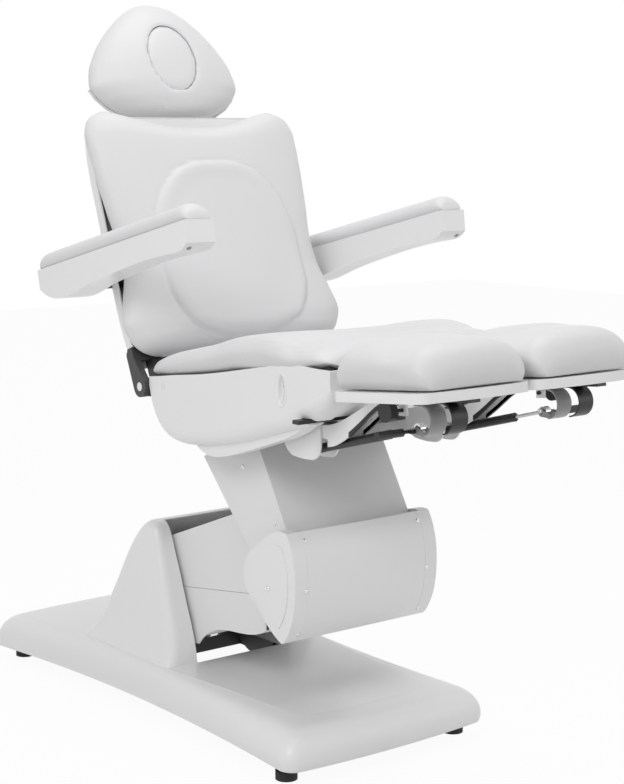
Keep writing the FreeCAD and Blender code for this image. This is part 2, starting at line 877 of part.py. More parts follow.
cover_wall = num("cover_wall")
front_ends = (-num("base_front_reach"), num("base_front_half"), num("base_front_mid_half"))
front_outside = cover_body(FRONT_COVER_SHARES, *front_ends, 0)
front_hollow = cover_body(FRONT_COVER_SHARES, *front_ends, cover_wall)
front_ribs = rail_ribs(front_outside, ["-front_bar_y / 2", "cover_seam_y - rail_width"])
shaped("base_front_cover", fuse_all([front_outside.cut(front_hollow)] + front_ribs))

rear_ends = (num("base_rear_reach"), num("base_rear_half"), num("base_rear_mid_half"))
rear_outside = cover_body(REAR_COVER_SHARES, *rear_ends, 0)
rear_hollow = cover_body(REAR_COVER_SHARES, *rear_ends, cover_wall)
tower_outside = tower_body(0)
tower_hollow = tower_body(cover_wall)
rear_shell = rear_outside.fuse(tower_outside).cut(rear_hollow).cut(tower_hollow)
cheek_wall = block(point("cavity_half", "tower_front_y", "cavity_floor"),
                   point("cavity_half + cover_wall", "tower_rear_y", "tower_peak")).common(tower_outside)
rear_ribs = rail_ribs(rear_outside, ["drive_bar_y"])
rear_cover = fuse_all([rear_shell] + both(cheek_wall) + rear_ribs)
# The cavity between the cheeks takes the lower arm and opens forward and upward
CAVITY_SHARES = [(0, 0), (0, 1), (0.31, 1), (0.43, 0.86), (0.53, 0.68), (0.60, 0.48), (0.66, 0.28), (0.66, 0)]
cavity_low = num("cavity_floor")
cavity_front = num("tower_front_y - overrun")
cavity_depth = num("tower_rear_y") - cavity_front
cavity_height = num("tower_peak + overrun") - cavity_low
cavity_wire = wire_of(loop([side(cavity_front + back * cavity_depth, cavity_low + up * cavity_height)
                            for back, up in CAVITY_SHARES]))
cavity = slab(cavity_wire, -num("cavity_half"), num("cavity_half"))
shaft_hole = bar_x(num("main_shaft_radius + seat_gap"), TOWER_PIVOT, -num("tower_plate_centre"),
                   num("tower_plate_centre"))
inlet_hole = block(point("-inlet_centre_x - inlet_width / 2 - seat_gap", "tail_bar_y",
                         "inlet_centre_z - inlet_height / 2 - seat_gap"),
                   point("-inlet_centre_x + inlet_width / 2 + seat_gap", "base_rear_reach + 2 * overrun",
                         "inlet_centre_z + inlet_height / 2 + seat_gap"))
shaped("base_rear_cover", rear_cover.cut(cavity).cut(shaft_hole).cut(inlet_hole))

# Lift: lower arm and the links

ARM_HUB = "(main_shaft_radius + running_clearance + bush_wall)"
FRONT_HUB = "(shaft_radius + running_clearance + bush_wall)"
SHAFT_BORE = "(shaft_radius + running_clearance)"
ARM_SPAN = "(2 * arm_plate_centre + plate_depth)"
arm_plate = lever("arm_plate", TOWER_PIVOT, KNUCKLE_PIVOT, "arm_plate_rear", "arm_plate_front",
                  "plate_depth", "arm_plate_centre")
lift_lever = lever("lift_lever", TOWER_PIVOT, LIFT_TIP, ARM_HUB, "eye_radius", "thin_plate",
                   "inner_plate_centre")
arm_middle = (TOWER_PIVOT + KNUCKLE_PIVOT) * 0.5
cover_boss = round_bar("arm_cover_boss", "mast_boss_radius",
                       "arm_cover_half - skin - seat_gap - arm_plate_centre", arm_middle,
                       "(arm_cover_half - skin - seat_gap + arm_plate_centre) / 2")
weld("lower_arm_frame",
     pair(arm_plate) + pair(lift_lever) + pair(cover_boss)
     + [round_bar("arm_rear_hub", ARM_HUB, ARM_SPAN, TOWER_PIVOT),
        round_bar("arm_front_hub", FRONT_HUB, ARM_SPAN, KNUCKLE_PIVOT),
        round_bar("arm_tie", "arm_tie_radius", ARM_SPAN, arm_middle),
        round_bar("lift_lever_pin", "lift_pin", "2 * inner_plate_centre + thin_plate", LIFT_TIP)],
     [round_bar("arm_rear_bore", "main_shaft_radius + running_clearance", ARM_SPAN + " + overrun",
                TOWER_PIVOT),
      round_bar("arm_front_bore", SHAFT_BORE, ARM_SPAN + " + overrun", KNUCKLE_PIVOT)])


def link(label, start, end, width, x):
    bore = "link_pin_radius + running_clearance"
    weld(label,
         [lever(label + "_bar", start, end, "link_bar / 2", "link_bar / 2", width, x),
          round_bar(label + "_first_eye", "eye_radius", width, start, x),
          round_bar(label + "_last_eye", "eye_radius", width, end, x)],
         [round_bar(label + "_first_bore", bore, width + " + overrun", start, x),
          round_bar(label + "_last_bore", bore, width + " + overrun", end, x)])


link("lower_link", TOWER_PIVOT + LOWER_STEP, KNUCKLE_PIVOT + LOWER_STEP, "link_width", "0")
link("upper_link", MAST_PIVOT + UPPER_STEP, CARRIER_PIVOT + UPPER_STEP, "upper_link_width", "upper_link_x")

# Side outline of the lower arm's covers, as shares forward from its rear and up from its belly
ARM_TOP_SHARES = [(0.850, 1.000), (0.174, 0.679)]
ARM_REAR_SHARES = [(0.174, 0.679), (0.077, 0.606), (0.013, 0.470), (0.000, 0.299),
                   (0.054, 0.117), (0.185, 0.016), (0.292, 0.000)]
ARM_BELLY_SHARES = [(0.431, 0.027), (0.485, 0.095), (0.543, 0.141), (0.700, 0.190), (1.000, 0.274)]
ARM_NOSE_SHARES = [(1.000, 0.780)]


def arm_points(shares):
    return in_box(shares, num("arm_rear_y"), num("arm_front_y + arm_rear_y"), num("arm_belly_z"),
                  num("arm_crest_z - arm_belly_z"))


arm_top = arm_points(ARM_TOP_SHARES)
arm_rear = arm_points(ARM_REAR_SHARES)
arm_belly = arm_points(ARM_BELLY_SHARES)
arm_nose = arm_points(ARM_NOSE_SHARES)[0]
arm_wire = wire_of([arm_top, arm_rear, [arm_rear[-1], arm_belly[0]], arm_belly,
                    [arm_belly[-1], arm_nose], [arm_nose, arm_top[0]]])
arm_half = num("arm_cover_half")
skin = num("skin")
overrun = num("overrun")
inner_half = arm_half - skin
ARM_HOLLOW_SHARE = 0.982
arm_shell = slab(arm_wire, -arm_half, arm_half).cut(
    shrunk(arm_wire, ARM_HOLLOW_SHARE, -inner_half, inner_half))
# The covers are open to the front, to the rear for the link, and below for the lift lever
front_mouth = block(Vector(-inner_half, arm_belly[-1].y - overrun, arm_belly[-1].z - overrun),
                    Vector(inner_half, arm_belly[-1].y + 2 * skin, arm_top[0].z + overrun))
crest_mouth = block(Vector(-inner_half, arm_belly[-1].y, num("knuckle_pivot_z")),
                    Vector(inner_half, arm_top[0].y, arm_top[0].z + overrun))
rear_mouth = block(Vector(-inner_half, TOWER_PIVOT.y, 0),
                   Vector(inner_half, arm_rear[3].y + overrun, arm_rear[1].z - overrun))
belly_mouth = block(Vector(-inner_half, arm_belly[1].y, 0),
                    Vector(inner_half, arm_rear[3].y, TOWER_PIVOT.z - num(ARM_HUB)))
shaft_room = bar_x(num("main_shaft_radius + part_clearance"), TOWER_PIVOT, -arm_half - overrun,
                   arm_half + overrun)
for mouth in (front_mouth, crest_mouth, rear_mouth, belly_mouth, shaft_room):
    arm_shell = arm_shell.cut(mouth)
seam_front = spot("-arm_front_y - overrun", "arm_seam_front_z")
seam_rear = spot("arm_rear_y + overrun", "arm_seam_rear_z")
seam_gap = spot("0", "part_clearance")
above = spot("0", "arm_crest_z")
upper_zone = slab(wire_of(loop([seam_front + seam_gap, seam_rear + seam_gap,
                                seam_rear + above, seam_front + above])), -arm_half, arm_half)
lower_zone = slab(wire_of(loop([seam_front, seam_rear, seam_rear - above, seam_front - above])),
                  -arm_half, arm_half)
seam_middle = (seam_front + seam_rear) * 0.5
# Tabs on the skirt reach up behind the top cover
tab_half = num("overrun")
seam_tab = block(Vector(inner_half - skin, seam_middle.y - tab_half, seam_middle.z - tab_half),
                 Vector(inner_half - num("seat_gap"), seam_middle.y + tab_half,
                        seam_middle.z + tab_half))
seam_foot = block(Vector(inner_half - skin, seam_middle.y - tab_half, seam_middle.z - tab_half),
                  Vector(inner_half, seam_middle.y + tab_half, seam_middle.z - tab_half / 2))
shaped("lower_arm_top_cover", arm_shell.common(upper_zone))
shaped("lower_arm_skirt", fuse_all([arm_shell.common(lower_zone)] + both(seam_tab) + both(seam_foot)))

# Lift: actuator between the base and the lower arm's lever

lift_way = (LIFT_TIP - LIFT_MOUNT).normalize()
tube_start = LIFT_MOUNT + lift_way * num("lift_tube_start")
tube_end = tube_start + lift_way * num("lift_tube_length")
weld("lift_actuator",
     [round_rod("lift_tube_body", "lift_tube", "lift_tube_length", tube_start, lift_way),
      box("lift_block", ("2 * drive_block_half", "drive_block_length", "rail_height"),
          ("-drive_block_half", "drive_bar_y - rail_width / 2 - seat_gap - drive_block_length",
           "rail_lift + floor_sheet + seat_gap"))],
     [round_rod("lift_tube_bore", "lift_rod + running_clearance", "lift_tube_length",
                tube_start + lift_way * num("drive_block_length"), lift_way)])
weld("lift_actuator_rod",
     [round_run("lift_rod_bar", "lift_rod", tube_end - lift_way * num("lift_rod_grip"), LIFT_TIP),
      round_bar("lift_eye_ring", "lift_eye", "link_width", LIFT_TIP)],
     [round_bar("lift_eye_room", "lift_eye_hole", "link_width + overrun", LIFT_TIP)])

# Lift: knuckle

KNUCKLE_FRONT_SHARES = [(0.839, 0.996), (0.968, 0.770), (1.000, 0.516), (0.946, 0.238), (0.785, 0.012)]
KNUCKLE_FOOT_SHARES = [(0.785, 0.012), (0.745, -0.004), (0.700, 0.006), (0.414, 0.152), (0.113, 0.348)]
KNUCKLE_REAR_SHARES = [(0.113, 0.348), (0.027, 0.422), (0.000, 0.512), (0.027, 0.630), (0.172, 0.770)]
KNUCKLE_CREST_SHARES = [(0.172, 0.770), (0.452, 0.926), (0.690, 1.000), (0.839, 0.996)]


def knuckle_points(shares):
    return in_box(shares, -num("knuckle_rear_y"), num("knuckle_depth"), num("knuckle_bottom"),
                  num("knuckle_height"))


knuckle_wire = wire_of([knuckle_points(shares) for shares in (
    KNUCKLE_FRONT_SHARES, KNUCKLE_FOOT_SHARES, KNUCKLE_REAR_SHARES, KNUCKLE_CREST_SHARES)])
knuckle_wall = num("knuckle_wall")
knuckle_half = num("knuckle_half")
step_x = knuckle_half - num("cap_step")
cap_inner_x = knuckle_half - num("cap_band")
# Each cap's middle stands a step proud of its rim
CAP_FACE_SHARE = 0.74
CAP_HOLLOW_SHARE = 0.94
cap_solid = slab(knuckle_wire, cap_inner_x, step_x).fuse(
    shrunk(knuckle_wire, CAP_FACE_SHARE, step_x - knuckle_wall, knuckle_half))
cap_hollow = shrunk(knuckle_wire, CAP_HOLLOW_SHARE, cap_inner_x - overrun, step_x - knuckle_wall)
# The cap's rim stops where the upper arm's sides pass
notch = block(point("0", "-cap_notch_y", "cap_notch_z"),
              point("cap_notch_half", "0", "knuckle_bottom + knuckle_height + overrun"))
side_cap = cap_solid.cut(cap_hollow).cut(notch)
shaped("knuckle_side_caps", Part.makeCompound(both(side_cap)))

cover_half = cap_inner_x - num("seat_gap")
front_cover = slab(knuckle_wire, -cover_half, cover_half).cut(
    shrunk(knuckle_wire, CAP_HOLLOW_SHARE, -knuckle_half, knuckle_half))
front_cover = front_cover.cut(block(Vector(-knuckle_half, -num("front_cover_end_y"), 0),
                                    Vector(knuckle_half, 0, MAST_PIVOT.z * 2)))
front_cover = front_cover.cut(block(Vector(-knuckle_half, -num("cap_notch_y"), num("cap_notch_z")),
                                    Vector(knuckle_half, 0, MAST_PIVOT.z * 2)))
web_front_y = -num("knuckle_web_y + knuckle_web_depth")
cover_rib = block(Vector(num("upper_link_x"), web_front_y - overrun - overrun, num("knuckle_web_z")),
                  Vector(num("upper_link_x") + overrun, web_front_y - num("seat_gap"),
                         num("knuckle_web_z + knuckle_web_height")))
cover_rib = cover_rib.common(slab(knuckle_wire, -cover_half, cover_half))
shaped("knuckle_front_cover", fuse_all([front_cover] + both(cover_rib)))

knuckle_plate = lever("knuckle_plate", KNUCKLE_PIVOT, MAST_PIVOT, "arm_plate_front", "mast_plate_foot",
                      "plate_depth", "knuckle_plate_centre")
web_centre = spot("-knuckle_web_y + knuckle_web_depth", "knuckle_web_z + knuckle_web_height / 2")
knuckle_brace = lever("knuckle_brace", KNUCKLE_PIVOT, web_centre, "mast_plate_foot",
                      "knuckle_web_height / 2", "plate_depth", "knuckle_plate_centre")
lower_lug = lever("lower_link_lug", MAST_PIVOT, KNUCKLE_PIVOT + LOWER_STEP, "eye_radius", "eye_radius",
                  "thin_plate", "inner_plate_centre")
LUG_STEP = "(upper_link_width / 2 + part_clearance + thin_plate / 2)"
KNUCKLE_SPAN = "(2 * knuckle_plate_centre + plate_depth)"


def upper_lugs(name, start, end):
    return [lever("%s_%s" % (name, place), start, end, "eye_radius", "eye_radius - part_clearance",
                  "thin_plate", "upper_link_x %s %s" % (sign, LUG_STEP))
            for place, sign in (("outer", "+"), ("inner", "-"))]


weld("knuckle_frame",
     pair(knuckle_plate) + pair(knuckle_brace) + pair(lower_lug)
     + upper_lugs("knuckle_lug", MAST_PIVOT, MAST_PIVOT + UPPER_STEP)
     + [round_bar("knuckle_tube", FRONT_HUB, KNUCKLE_SPAN, MAST_PIVOT),
        box("knuckle_web", (KNUCKLE_SPAN, "knuckle_web_depth", "knuckle_web_height"),
            ("-knuckle_plate_centre - plate_depth / 2", "-knuckle_web_y - knuckle_web_depth",
             "knuckle_web_z"))],
     [round_bar("knuckle_arm_bore", SHAFT_BORE, KNUCKLE_SPAN + " + overrun", KNUCKLE_PIVOT),
      round_bar("knuckle_mast_bore", SHAFT_BORE, KNUCKLE_SPAN + " + overrun", MAST_PIVOT),
      round_bar("lower_lug_bore", "link_pin_radius + running_clearance",
                "2 * inner_plate_centre + overrun", KNUCKLE_PIVOT + LOWER_STEP),
      round_bar("upper_lug_bore", "link_pin_radius + running_clearance",
                "upper_link_width + 2 * overrun", MAST_PIVOT + UPPER_STEP, "upper_link_x")])
LUG_SPAN = "(upper_link_width + 2 * part_clearance + 2 * thin_plate)"
group("knuckle_shafts", [
    round_bar("knuckle_arm_shaft", "shaft_radius", KNUCKLE_SPAN, KNUCKLE_PIVOT),
    round_bar("knuckle_mast_shaft", "shaft_radius", "2 * mast_plate_centre + plate_depth", MAST_PIVOT),
    round_bar("lower_link_pin", "link_pin_radius", "2 * inner_plate_centre + 2 * thin_plate",
              KNUCKLE_PIVOT + LOWER_STEP),
    round_bar("upper_link_pin", "link_pin_radius", LUG_SPAN, MAST_PIVOT + UPPER_STEP, "upper_link_x")])

# Lift: upper arm

mast_way = (CARRIER_PIVOT - MAST_PIVOT).normalize()
mast_plate = lever("mast_plate", MAST_PIVOT, CARRIER_PIVOT, "mast_plate_foot", "mast_plate_head",
                   "plate_depth", "mast_plate_centre")
MAST_SPAN = "(2 * mast_plate_centre + plate_depth)"
mast_bosses = []
for place in ("mast_low_boss_reach", "mast_high_boss_reach"):
    mast_bosses += pair(round_bar(place + "_boss", "mast_boss_radius",
                                  "mast_half - skin - seat_gap - mast_plate_centre",
                                  MAST_PIVOT + mast_way * num(place),
                                  "(mast_half - skin - seat_gap + mast_plate_centre) / 2"))
weld("upper_arm_frame",
     pair(mast_plate) + mast_bosses
     + [round_bar("mast_tie", "mast_tie_radius", MAST_SPAN, MAST_PIVOT + mast_way * num("mast_tie_reach")),
        round_bar("mast_top_tie", "mast_tie_radius", MAST_SPAN,
                  MAST_PIVOT + mast_way * num("mast_top_tie_reach"))],
     [round_bar("mast_foot_bore", SHAFT_BORE, MAST_SPAN + " + overrun", MAST_PIVOT),
      round_bar("mast_head_bore", SHAFT_BORE, MAST_SPAN + " + overrun", CARRIER_PIVOT)])

mast_front_foot = spot("-mast_front_foot_y", "mast_front_foot_z")
mast_front_head = spot("-mast_front_head_y", "mast_front_head_z")
mast_rear_foot = spot("-mast_rear_foot_y", "mast_rear_foot_z")
mast_rear_head = spot("mast_rear_head_y", "mast_rear_head_z")
mast_under = MAST_PIVOT - spot("0", "mast_plate_foot + mast_tie_radius")
mast_heel = MAST_PIVOT - spot("mast_plate_foot + mast_tie_radius", "0")
mast_wire = wire_of([[mast_front_foot, mast_front_head], [mast_front_head, mast_rear_head],
                     [mast_rear_head, mast_rear_foot], [mast_rear_foot, mast_under, mast_heel],
                     [mast_heel, mast_front_foot]])
mast_rise = (mast_front_head - mast_front_foot).normalize()
mast_inward = side(mast_rise.z, -mast_rise.y)
hollow_front = mast_front_foot + mast_inward * skin
hollow_low = hollow_front - mast_rise * num("mast_tie_reach")
hollow_high = hollow_front + mast_rise * num("2 * mast_tie_reach")
hollow_back = mast_inward * num("2 * mast_tie_reach")
mast_half = num("mast_half")
mast_hollow = slab(wire_of(loop([hollow_low, hollow_high, hollow_high + hollow_back,
                                 hollow_low + hollow_back])), skin - mast_half, mast_half - skin)
# Room in the front wall for the upper link's eye between its lugs
link_room_half = num(LUG_SPAN) / 2 + num("part_clearance")
link_room = bar_x(num("eye_radius + 2 * part_clearance"), MAST_PIVOT + UPPER_STEP,
                  num("upper_link_x") - link_room_half, num("upper_link_x") + link_room_half)
shaped("upper_arm_cover", slab(mast_wire, -mast_half, mast_half).cut(mast_hollow).cut(link_room))

# Seat: carrier on the upper arm

carrier_plate = lever("carrier_plate", CARRIER_PIVOT, TILT_PIVOT, "carrier_hub", "tilt_lug",
                      "plate_depth", "carrier_plate_centre")
CARRIER_SPAN = "(2 * carrier_plate_centre + plate_depth)"
tilt_stub = round_bar("tilt_stub", "tilt_pin", "plate_depth + 2 * thin_plate", TILT_PIVOT,
                      "carrier_plate_centre + thin_plate")
weld("seat_carrier",
     pair(carrier_plate) + pair(tilt_stub)
     + upper_lugs("carrier_lug", CARRIER_PIVOT, CARRIER_PIVOT + UPPER_STEP)
     + [round_bar("carrier_tube", "carrier_hub", CARRIER_SPAN, CARRIER_PIVOT),
        round_bar("carrier_shaft", "shaft_radius", MAST_SPAN, CARRIER_PIVOT),
        round_bar("carrier_link_pin", "link_pin_radius", LUG_SPAN, CARRIER_PIVOT + UPPER_STEP,
                  "upper_link_x")])

# Seat: frame, in the seat's own leaning frame with the backrest's hinge as its rear

seat_rail = box("seat_rail", ("seat_rail_width", "seat_rail_length", "seat_rail_height"),
                ("seat_rail_centre - seat_rail_width / 2", "-seat_rail_length", "-seat_rail_height"),
                SEAT_FRAME)
seat_hub = round_bar("seat_hub_ring", "seat_hub", "seat_rail_width", BACK_HINGE, "seat_rail_centre")


def seat_bar(name, start):
    return box(name, ("2 * seat_rail_centre", "seat_bar_width", "seat_rail_height"),
               ("-seat_rail_centre", "-(%s) - seat_bar_width" % start, "-seat_rail_height"), SEAT_FRAME)


tilt_lug = lever("tilt_lug_plate", TILT_PIVOT, TILT_PIVOT + spot("0", "tilt_lug_rise"), "tilt_lug",
                 "tilt_lug - thin_plate", "thin_plate", "tilt_lug_centre")
swing_top = point("hardware_x", "-swing_pivot_y", "bracket_top + swing_tube_lift")
swing_tube = round_rod("swing_tube", "swing_pin + running_clearance + swing_tube_wall",
                       "swing_tube_length", swing_top, Z_AXIS)
swing_bore = round_rod("swing_bore", "swing_pin + running_clearance", "swing_tube_length",
                       swing_top - Vector(0, 0, num("swing_tube_lift")), Z_AXIS)
DRIVE_LUG_STEP = "(back_eye_width / 2 + part_clearance + thin_plate / 2)"
drive_lugs = [lever("drive_lug_%s" % place, BACK_MOUNT,
                    BACK_MOUNT + spot("-back_lug_dy", "back_lug_dz"), "back_lug_radius",
                    "back_lug_radius", "thin_plate", "back_drive_x %s %s" % (sign, DRIVE_LUG_STEP))
              for place, sign in (("outer", "+"), ("inner", "-"))]
drive_pin = round_bar("drive_pin", "back_pin", "back_eye_width + 2 * part_clearance + 2 * thin_plate",
                      BACK_MOUNT, "back_drive_x")
lock_guide = box("lock_guide", ("guide_length", "guide_depth", "guide_height"),
                 ("-guide_inner_x - guide_length", "-guide_front_y", "guide_foot"))
lock_bore = box("lock_bore", ("guide_length + 2 * overrun", "lock_width + 2 * running_clearance",
                              "lock_height + 2 * running_clearance"),
                ("-guide_inner_x - guide_length - overrun", "-lock_y - lock_width / 2 - running_clearance",
                 "lock_z - lock_height / 2 - running_clearance"))
weld("seat_frame",
     pair(seat_rail) + pair(seat_hub) + pair(tilt_lug) + pair(swing_tube) + drive_lugs
     + [drive_pin, lock_guide, seat_bar("tilt_bar", "tilt_bar_start"),
        seat_bar("front_seat_bar", "front_bar_start"),
        box("seat_board", ("2 * board_half", "board_length", "board_depth"),
            ("-board_half", "-board_start - board_length", "0"), SEAT_FRAME)],
     pair(swing_bore)
     + [lock_bore,
        round_bar("hinge_bore", "hinge_shaft_radius + running_clearance",
                  "2 * seat_rail_centre + seat_rail_width + overrun", BACK_HINGE),
        round_bar("tilt_bore", "tilt_pin + running_clearance", "2 * tilt_lug_centre + overrun",
                  TILT_PIVOT)])
keep(box("lock_bar", ("lock_length", "lock_width", "lock_height"),
         ("-lock_inner_x - lock_length", "-lock_y - lock_width / 2", "lock_z - lock_height / 2")),
     "swing_lock_lever")

# Seat: pan. Forward share, then top and bottom as shares of the pan's height
PAN_SHARES = [
    (0.000, 0.635, 0.500),
    (0.012, 0.640, 0.330),
    (0.034, 0.648, 0.165),
    (0.076, 0.664, 0.055),
    (0.136, 0.690, 0.008),
    (0.232, 0.724, 0.014),
    (0.388, 0.788, 0.080),
    (0.550, 0.872, 0.188),
    (0.700, 0.951, 0.312),
    (0.815, 1.000, 0.412),
    (0.900, 0.996, 0.520),
    (0.962, 0.993, 0.650),
    (1.000, 0.991, 0.800),
]


def pan_body(inset, rise):
    """The seat pan's outside or, with an inset and raised past its rim, its hollow."""
    height = num("pan_high_z - pan_low_z")
    rear_y = num("pan_rear_y") - inset
    length = num("pan_rear_y + pan_front_y") - 2 * inset
    half = num("pan_half") - inset
    wires = []
    for forward, top_share, foot_share in PAN_SHARES:
        y = rear_y - forward * length
        top = num("pan_low_z") + top_share * height + rise
        foot = num("pan_low_z") + foot_share * height + inset
        corner = min(num("pan_round") - inset, (top - foot) / 3)
        lean = TURN_SHARE * corner
        wires.append(wire_of([
            [Vector(half, y, top), Vector(-half, y, top)],
            [Vector(-half, y, top), Vector(-half, y, foot + corner)],
            [Vector(-half, y, foot + corner), Vector(-half + lean, y, foot + lean),
             Vector(-half + corner, y, foot)],
            [Vector(-half + corner, y, foot), Vector(half - corner, y, foot)],
            [Vector(half - corner, y, foot), Vector(half - lean, y, foot + lean),
             Vector(half, y, foot + corner)],
            [Vector(half, y, foot + corner), Vector(half, y, top)],
        ], arcs=(2, 4)))
    return loft(wires)


pan_wall = num("pan_wall")
pan_outside = pan_body(0, 0)
pan_shell = pan_outside.cut(pan_body(pan_wall, num("overrun")))
well = block(point("-well_half", "-well_front_y", "pan_low_z - overrun"),
             point("well_half", "pan_rear_y + overrun", "back_hinge_z + seat_hub + swing_tube_length"))
door = block(point("-pan_door_half", "pan_rear_y - 2 * overrun", "pan_door_z"),
             point("pan_door_half", "pan_rear_y + overrun", "pan_high_z"))
pan_rib = block(point("seat_rail_centre + seat_rail_width / 2 + seat_gap", "-well_front_y / 2",
                      "back_hinge_z"),
                point("pan_half", "-well_front_y / 2 + pan_wall", "pan_high_z - overrun"))
rib_rear = block(point("seat_rail_centre + seat_rail_width / 2 + seat_gap", "0", "back_hinge_z - overrun"),
                 point("pan_half", "pan_wall", "back_hinge_z + overrun"))
pan_ribs = both(pan_rib.common(pan_outside)) + both(rib_rear.common(pan_outside))
grip_room = Part.Face(Part.Wire([Part.Ellipse(CENTRE, num("grip_height") / 2, num("grip_width") / 2)
                                 .toShape()])).extrude(Vector(0, 0, num("overrun")))
grip_room.Placement = Placement(point("pan_half - grip_depth", "-grip_y", "grip_z"),
                                Rotation(Z_AXIS, X_AXIS, Y_AXIS, "ZXY"))
lock_notch = block(point("-pan_half - overrun", "-lock_y - lock_width / 2 - lock_room", "pan_low_z"),
                   point("-well_half + overrun", "-lock_y + lock_width / 2 + lock_room",
                         "lock_z + lock_height / 2 + lock_room"))
pan = fuse_all([pan_shell.cut(well).cut(door)] + pan_ribs).cut(lock_notch)
for room in both(grip_room):
    pan = pan.cut(room)
shaped("seat_pan", pan)

UNDER_TOP_SHARES = [(0.232, 0.030), (0.388, 0.100), (0.550, 0.208), (0.700, 0.332), (0.815, 0.432)]
UNDER_FOOT_SHARES = [(0.232, 0.014), (0.300, -0.055), (0.388, -0.030), (0.500, 0.060), (0.640, 0.190),
                     (0.760, 0.320), (0.815, 0.412)]


def pan_points(shares):
    return in_box(shares, num("pan_rear_y"), num("pan_rear_y + pan_front_y"), num("pan_low_z"),
                  num("pan_high_z - pan_low_z"))


under_top = pan_points(UNDER_TOP_SHARES)
under_foot = pan_points(UNDER_FOOT_SHARES)
under_wire = wire_of([under_top, [under_top[-1], under_foot[-1]], under_foot[::-1],
                      [under_foot[0], under_top[0]]])
under_strip = slab(under_wire, num("well_half"), num("under_half")).cut(pan_outside)
shaped("seat_under_covers", Part.makeCompound(both(under_strip)))


# Cushions: each is a loft of sections with a flat base, round sides and a crown

def cushion_section(lay, half, side_height, crown, tuck):
    """lay puts a point of the section, across and up from the base, in its place."""
    tuck = min(tuck, side_height / 2)
    base = lay(half - tuck, 0)
    base_twin = lay(tuck - half, 0)
    shoulder = lay(half - tuck / 2, side_height)
    shoulder_twin = lay(tuck / 2 - half, side_height)
    bulge = side_height * 0.45
    return wire_of([[base_twin, base],
                    [base, lay(half, bulge), shoulder],
                    [shoulder, lay(0, crown), shoulder_twin],
                    [shoulder_twin, lay(-half, bulge), base_twin]], arcs=(1, 2, 3))


def cushion(shares, lay_at, length, half, height, tuck, extra=0):
    """shares: along, half width, side height, crown; lay_at(along) gives the section's lay."""
    wires = []
    for along, half_share, side_share, crown_share in shares:
        wires.append(cushion_section(lay_at(along * length), half_share * half,
                                     side_share * height + extra, crown_share * height + extra,
                                     tuck))
    return loft(wires)


SEAT_CUSHION_SHARES = [
    (0.000, 0.885, 0.260, 0.320),
    (0.040, 0.945, 0.455, 0.475),
    (0.160, 0.990, 0.680, 0.570),
    (0.370, 1.000, 0.820, 0.615),
    (0.550, 1.007, 1.000, 0.705),
    (0.690, 1.007, 0.930, 0.727),
    (0.765, 1.000, 0.750, 0.660),
    (0.825, 0.986, 0.490, 0.520),
    (0.945, 0.965, 0.340, 0.410),
    (1.000, 0.938, 0.227, 0.273),
]


def seat_lay(along):
    return lambda x, up: Vector(x, -num("seat_cushion_start") - along, num("board_depth + seat_gap") + up)


seat_cushion = cushion(SEAT_CUSHION_SHARES, seat_lay, num("seat_cushion_length"),
                       num("seat_cushion_half"), num("seat_cushion_height"), num("seat_tuck"))
# It rests on the pan's rim and leaves room for the backrest's turning cheeks
rim = [spot("pan_rear_y - (%f) * (pan_rear_y + pan_front_y)" % forward,
            "pan_low_z + (%f) * (pan_high_z - pan_low_z) + part_clearance" % top)
       for forward, top, _ in PAN_SHARES]
rim_foot = [side(rim[-1].y, num("pan_low_z")), side(rim[0].y, num("pan_low_z"))]
rim_room = slab(wire_of([rim, [rim[-1], rim_foot[0]], rim_foot, [rim_foot[1], rim[0]]]),
                num("seat_rail_centre + seat_rail_width / 2"), num("pan_half + overrun"))
cheek_room_radius = num("cheek_radius + 4 * part_clearance")
cheek_room = bar_x(cheek_room_radius, CENTRE,
                   num("back_lever_x - back_lever_width / 2 - 2 * part_clearance"),
                   num("seat_cushion_half + overrun"))
for room in both(rim_room):
    room.Placement = SEAT_FRAME.inverse().multiply(room.Placement)
    seat_cushion = seat_cushion.cut(room)
for room in both(cheek_room):
    seat_cushion = seat_cushion.cut(room)
shaped("seat_cushion", seat_cushion, SEAT_FRAME)

# Back: actuator from the seat frame to the lever below the hinge. Its line is aimed a little
# below the lever's pin, so that the eye stays about the pin over the whole recline.

drive_down = side((BACK_TIP - BACK_MOUNT).z, -(BACK_TIP - BACK_MOUNT).y).normalize()
back_aim = BACK_TIP + drive_down * num("back_aim_drop")
drive_way = (back_aim - BACK_MOUNT).normalize()
drive_centre = Vector(num("back_drive_x"), 0, 0)
drive_end = BACK_MOUNT + drive_way * num("back_tube_length")
drive_body = round_rod("back_drive_tube", "back_tube", "back_tube_length", BACK_MOUNT + drive_centre,
                       drive_way)
drive_motor = box("back_drive_motor", ("drive_motor_width", "drive_motor_length", "drive_motor_height"),
                  ("back_drive_x - drive_motor_width / 2", "-back_mount_y + back_lug_radius + overrun",
                   "back_mount_z"))
weld("back_actuator", [drive_body, drive_motor],
     [round_rod("back_drive_bore", "back_rod + running_clearance", "back_bore_length + overrun",
                drive_end - drive_way * num("back_bore_length") + drive_centre, drive_way),
      round_bar("back_mount_bore", "back_pin + running_clearance", "back_tube * 4", BACK_MOUNT,
                "back_drive_x"),
      box("drive_cheek_outer", ("back_tube", "2 * back_tube + back_lug_radius", "3 * back_tube"),
          ("back_drive_x + back_eye_width / 2", "-back_mount_y - back_tube - seat_gap",
           "back_mount_z - 1.5 * back_tube")),
      box("drive_cheek_inner", ("back_tube", "2 * back_tube + back_lug_radius", "3 * back_tube"),
          ("back_drive_x - back_eye_width / 2 - back_tube", "-back_mount_y - back_tube - seat_gap",
           "back_mount_z - 1.5 * back_tube"))])
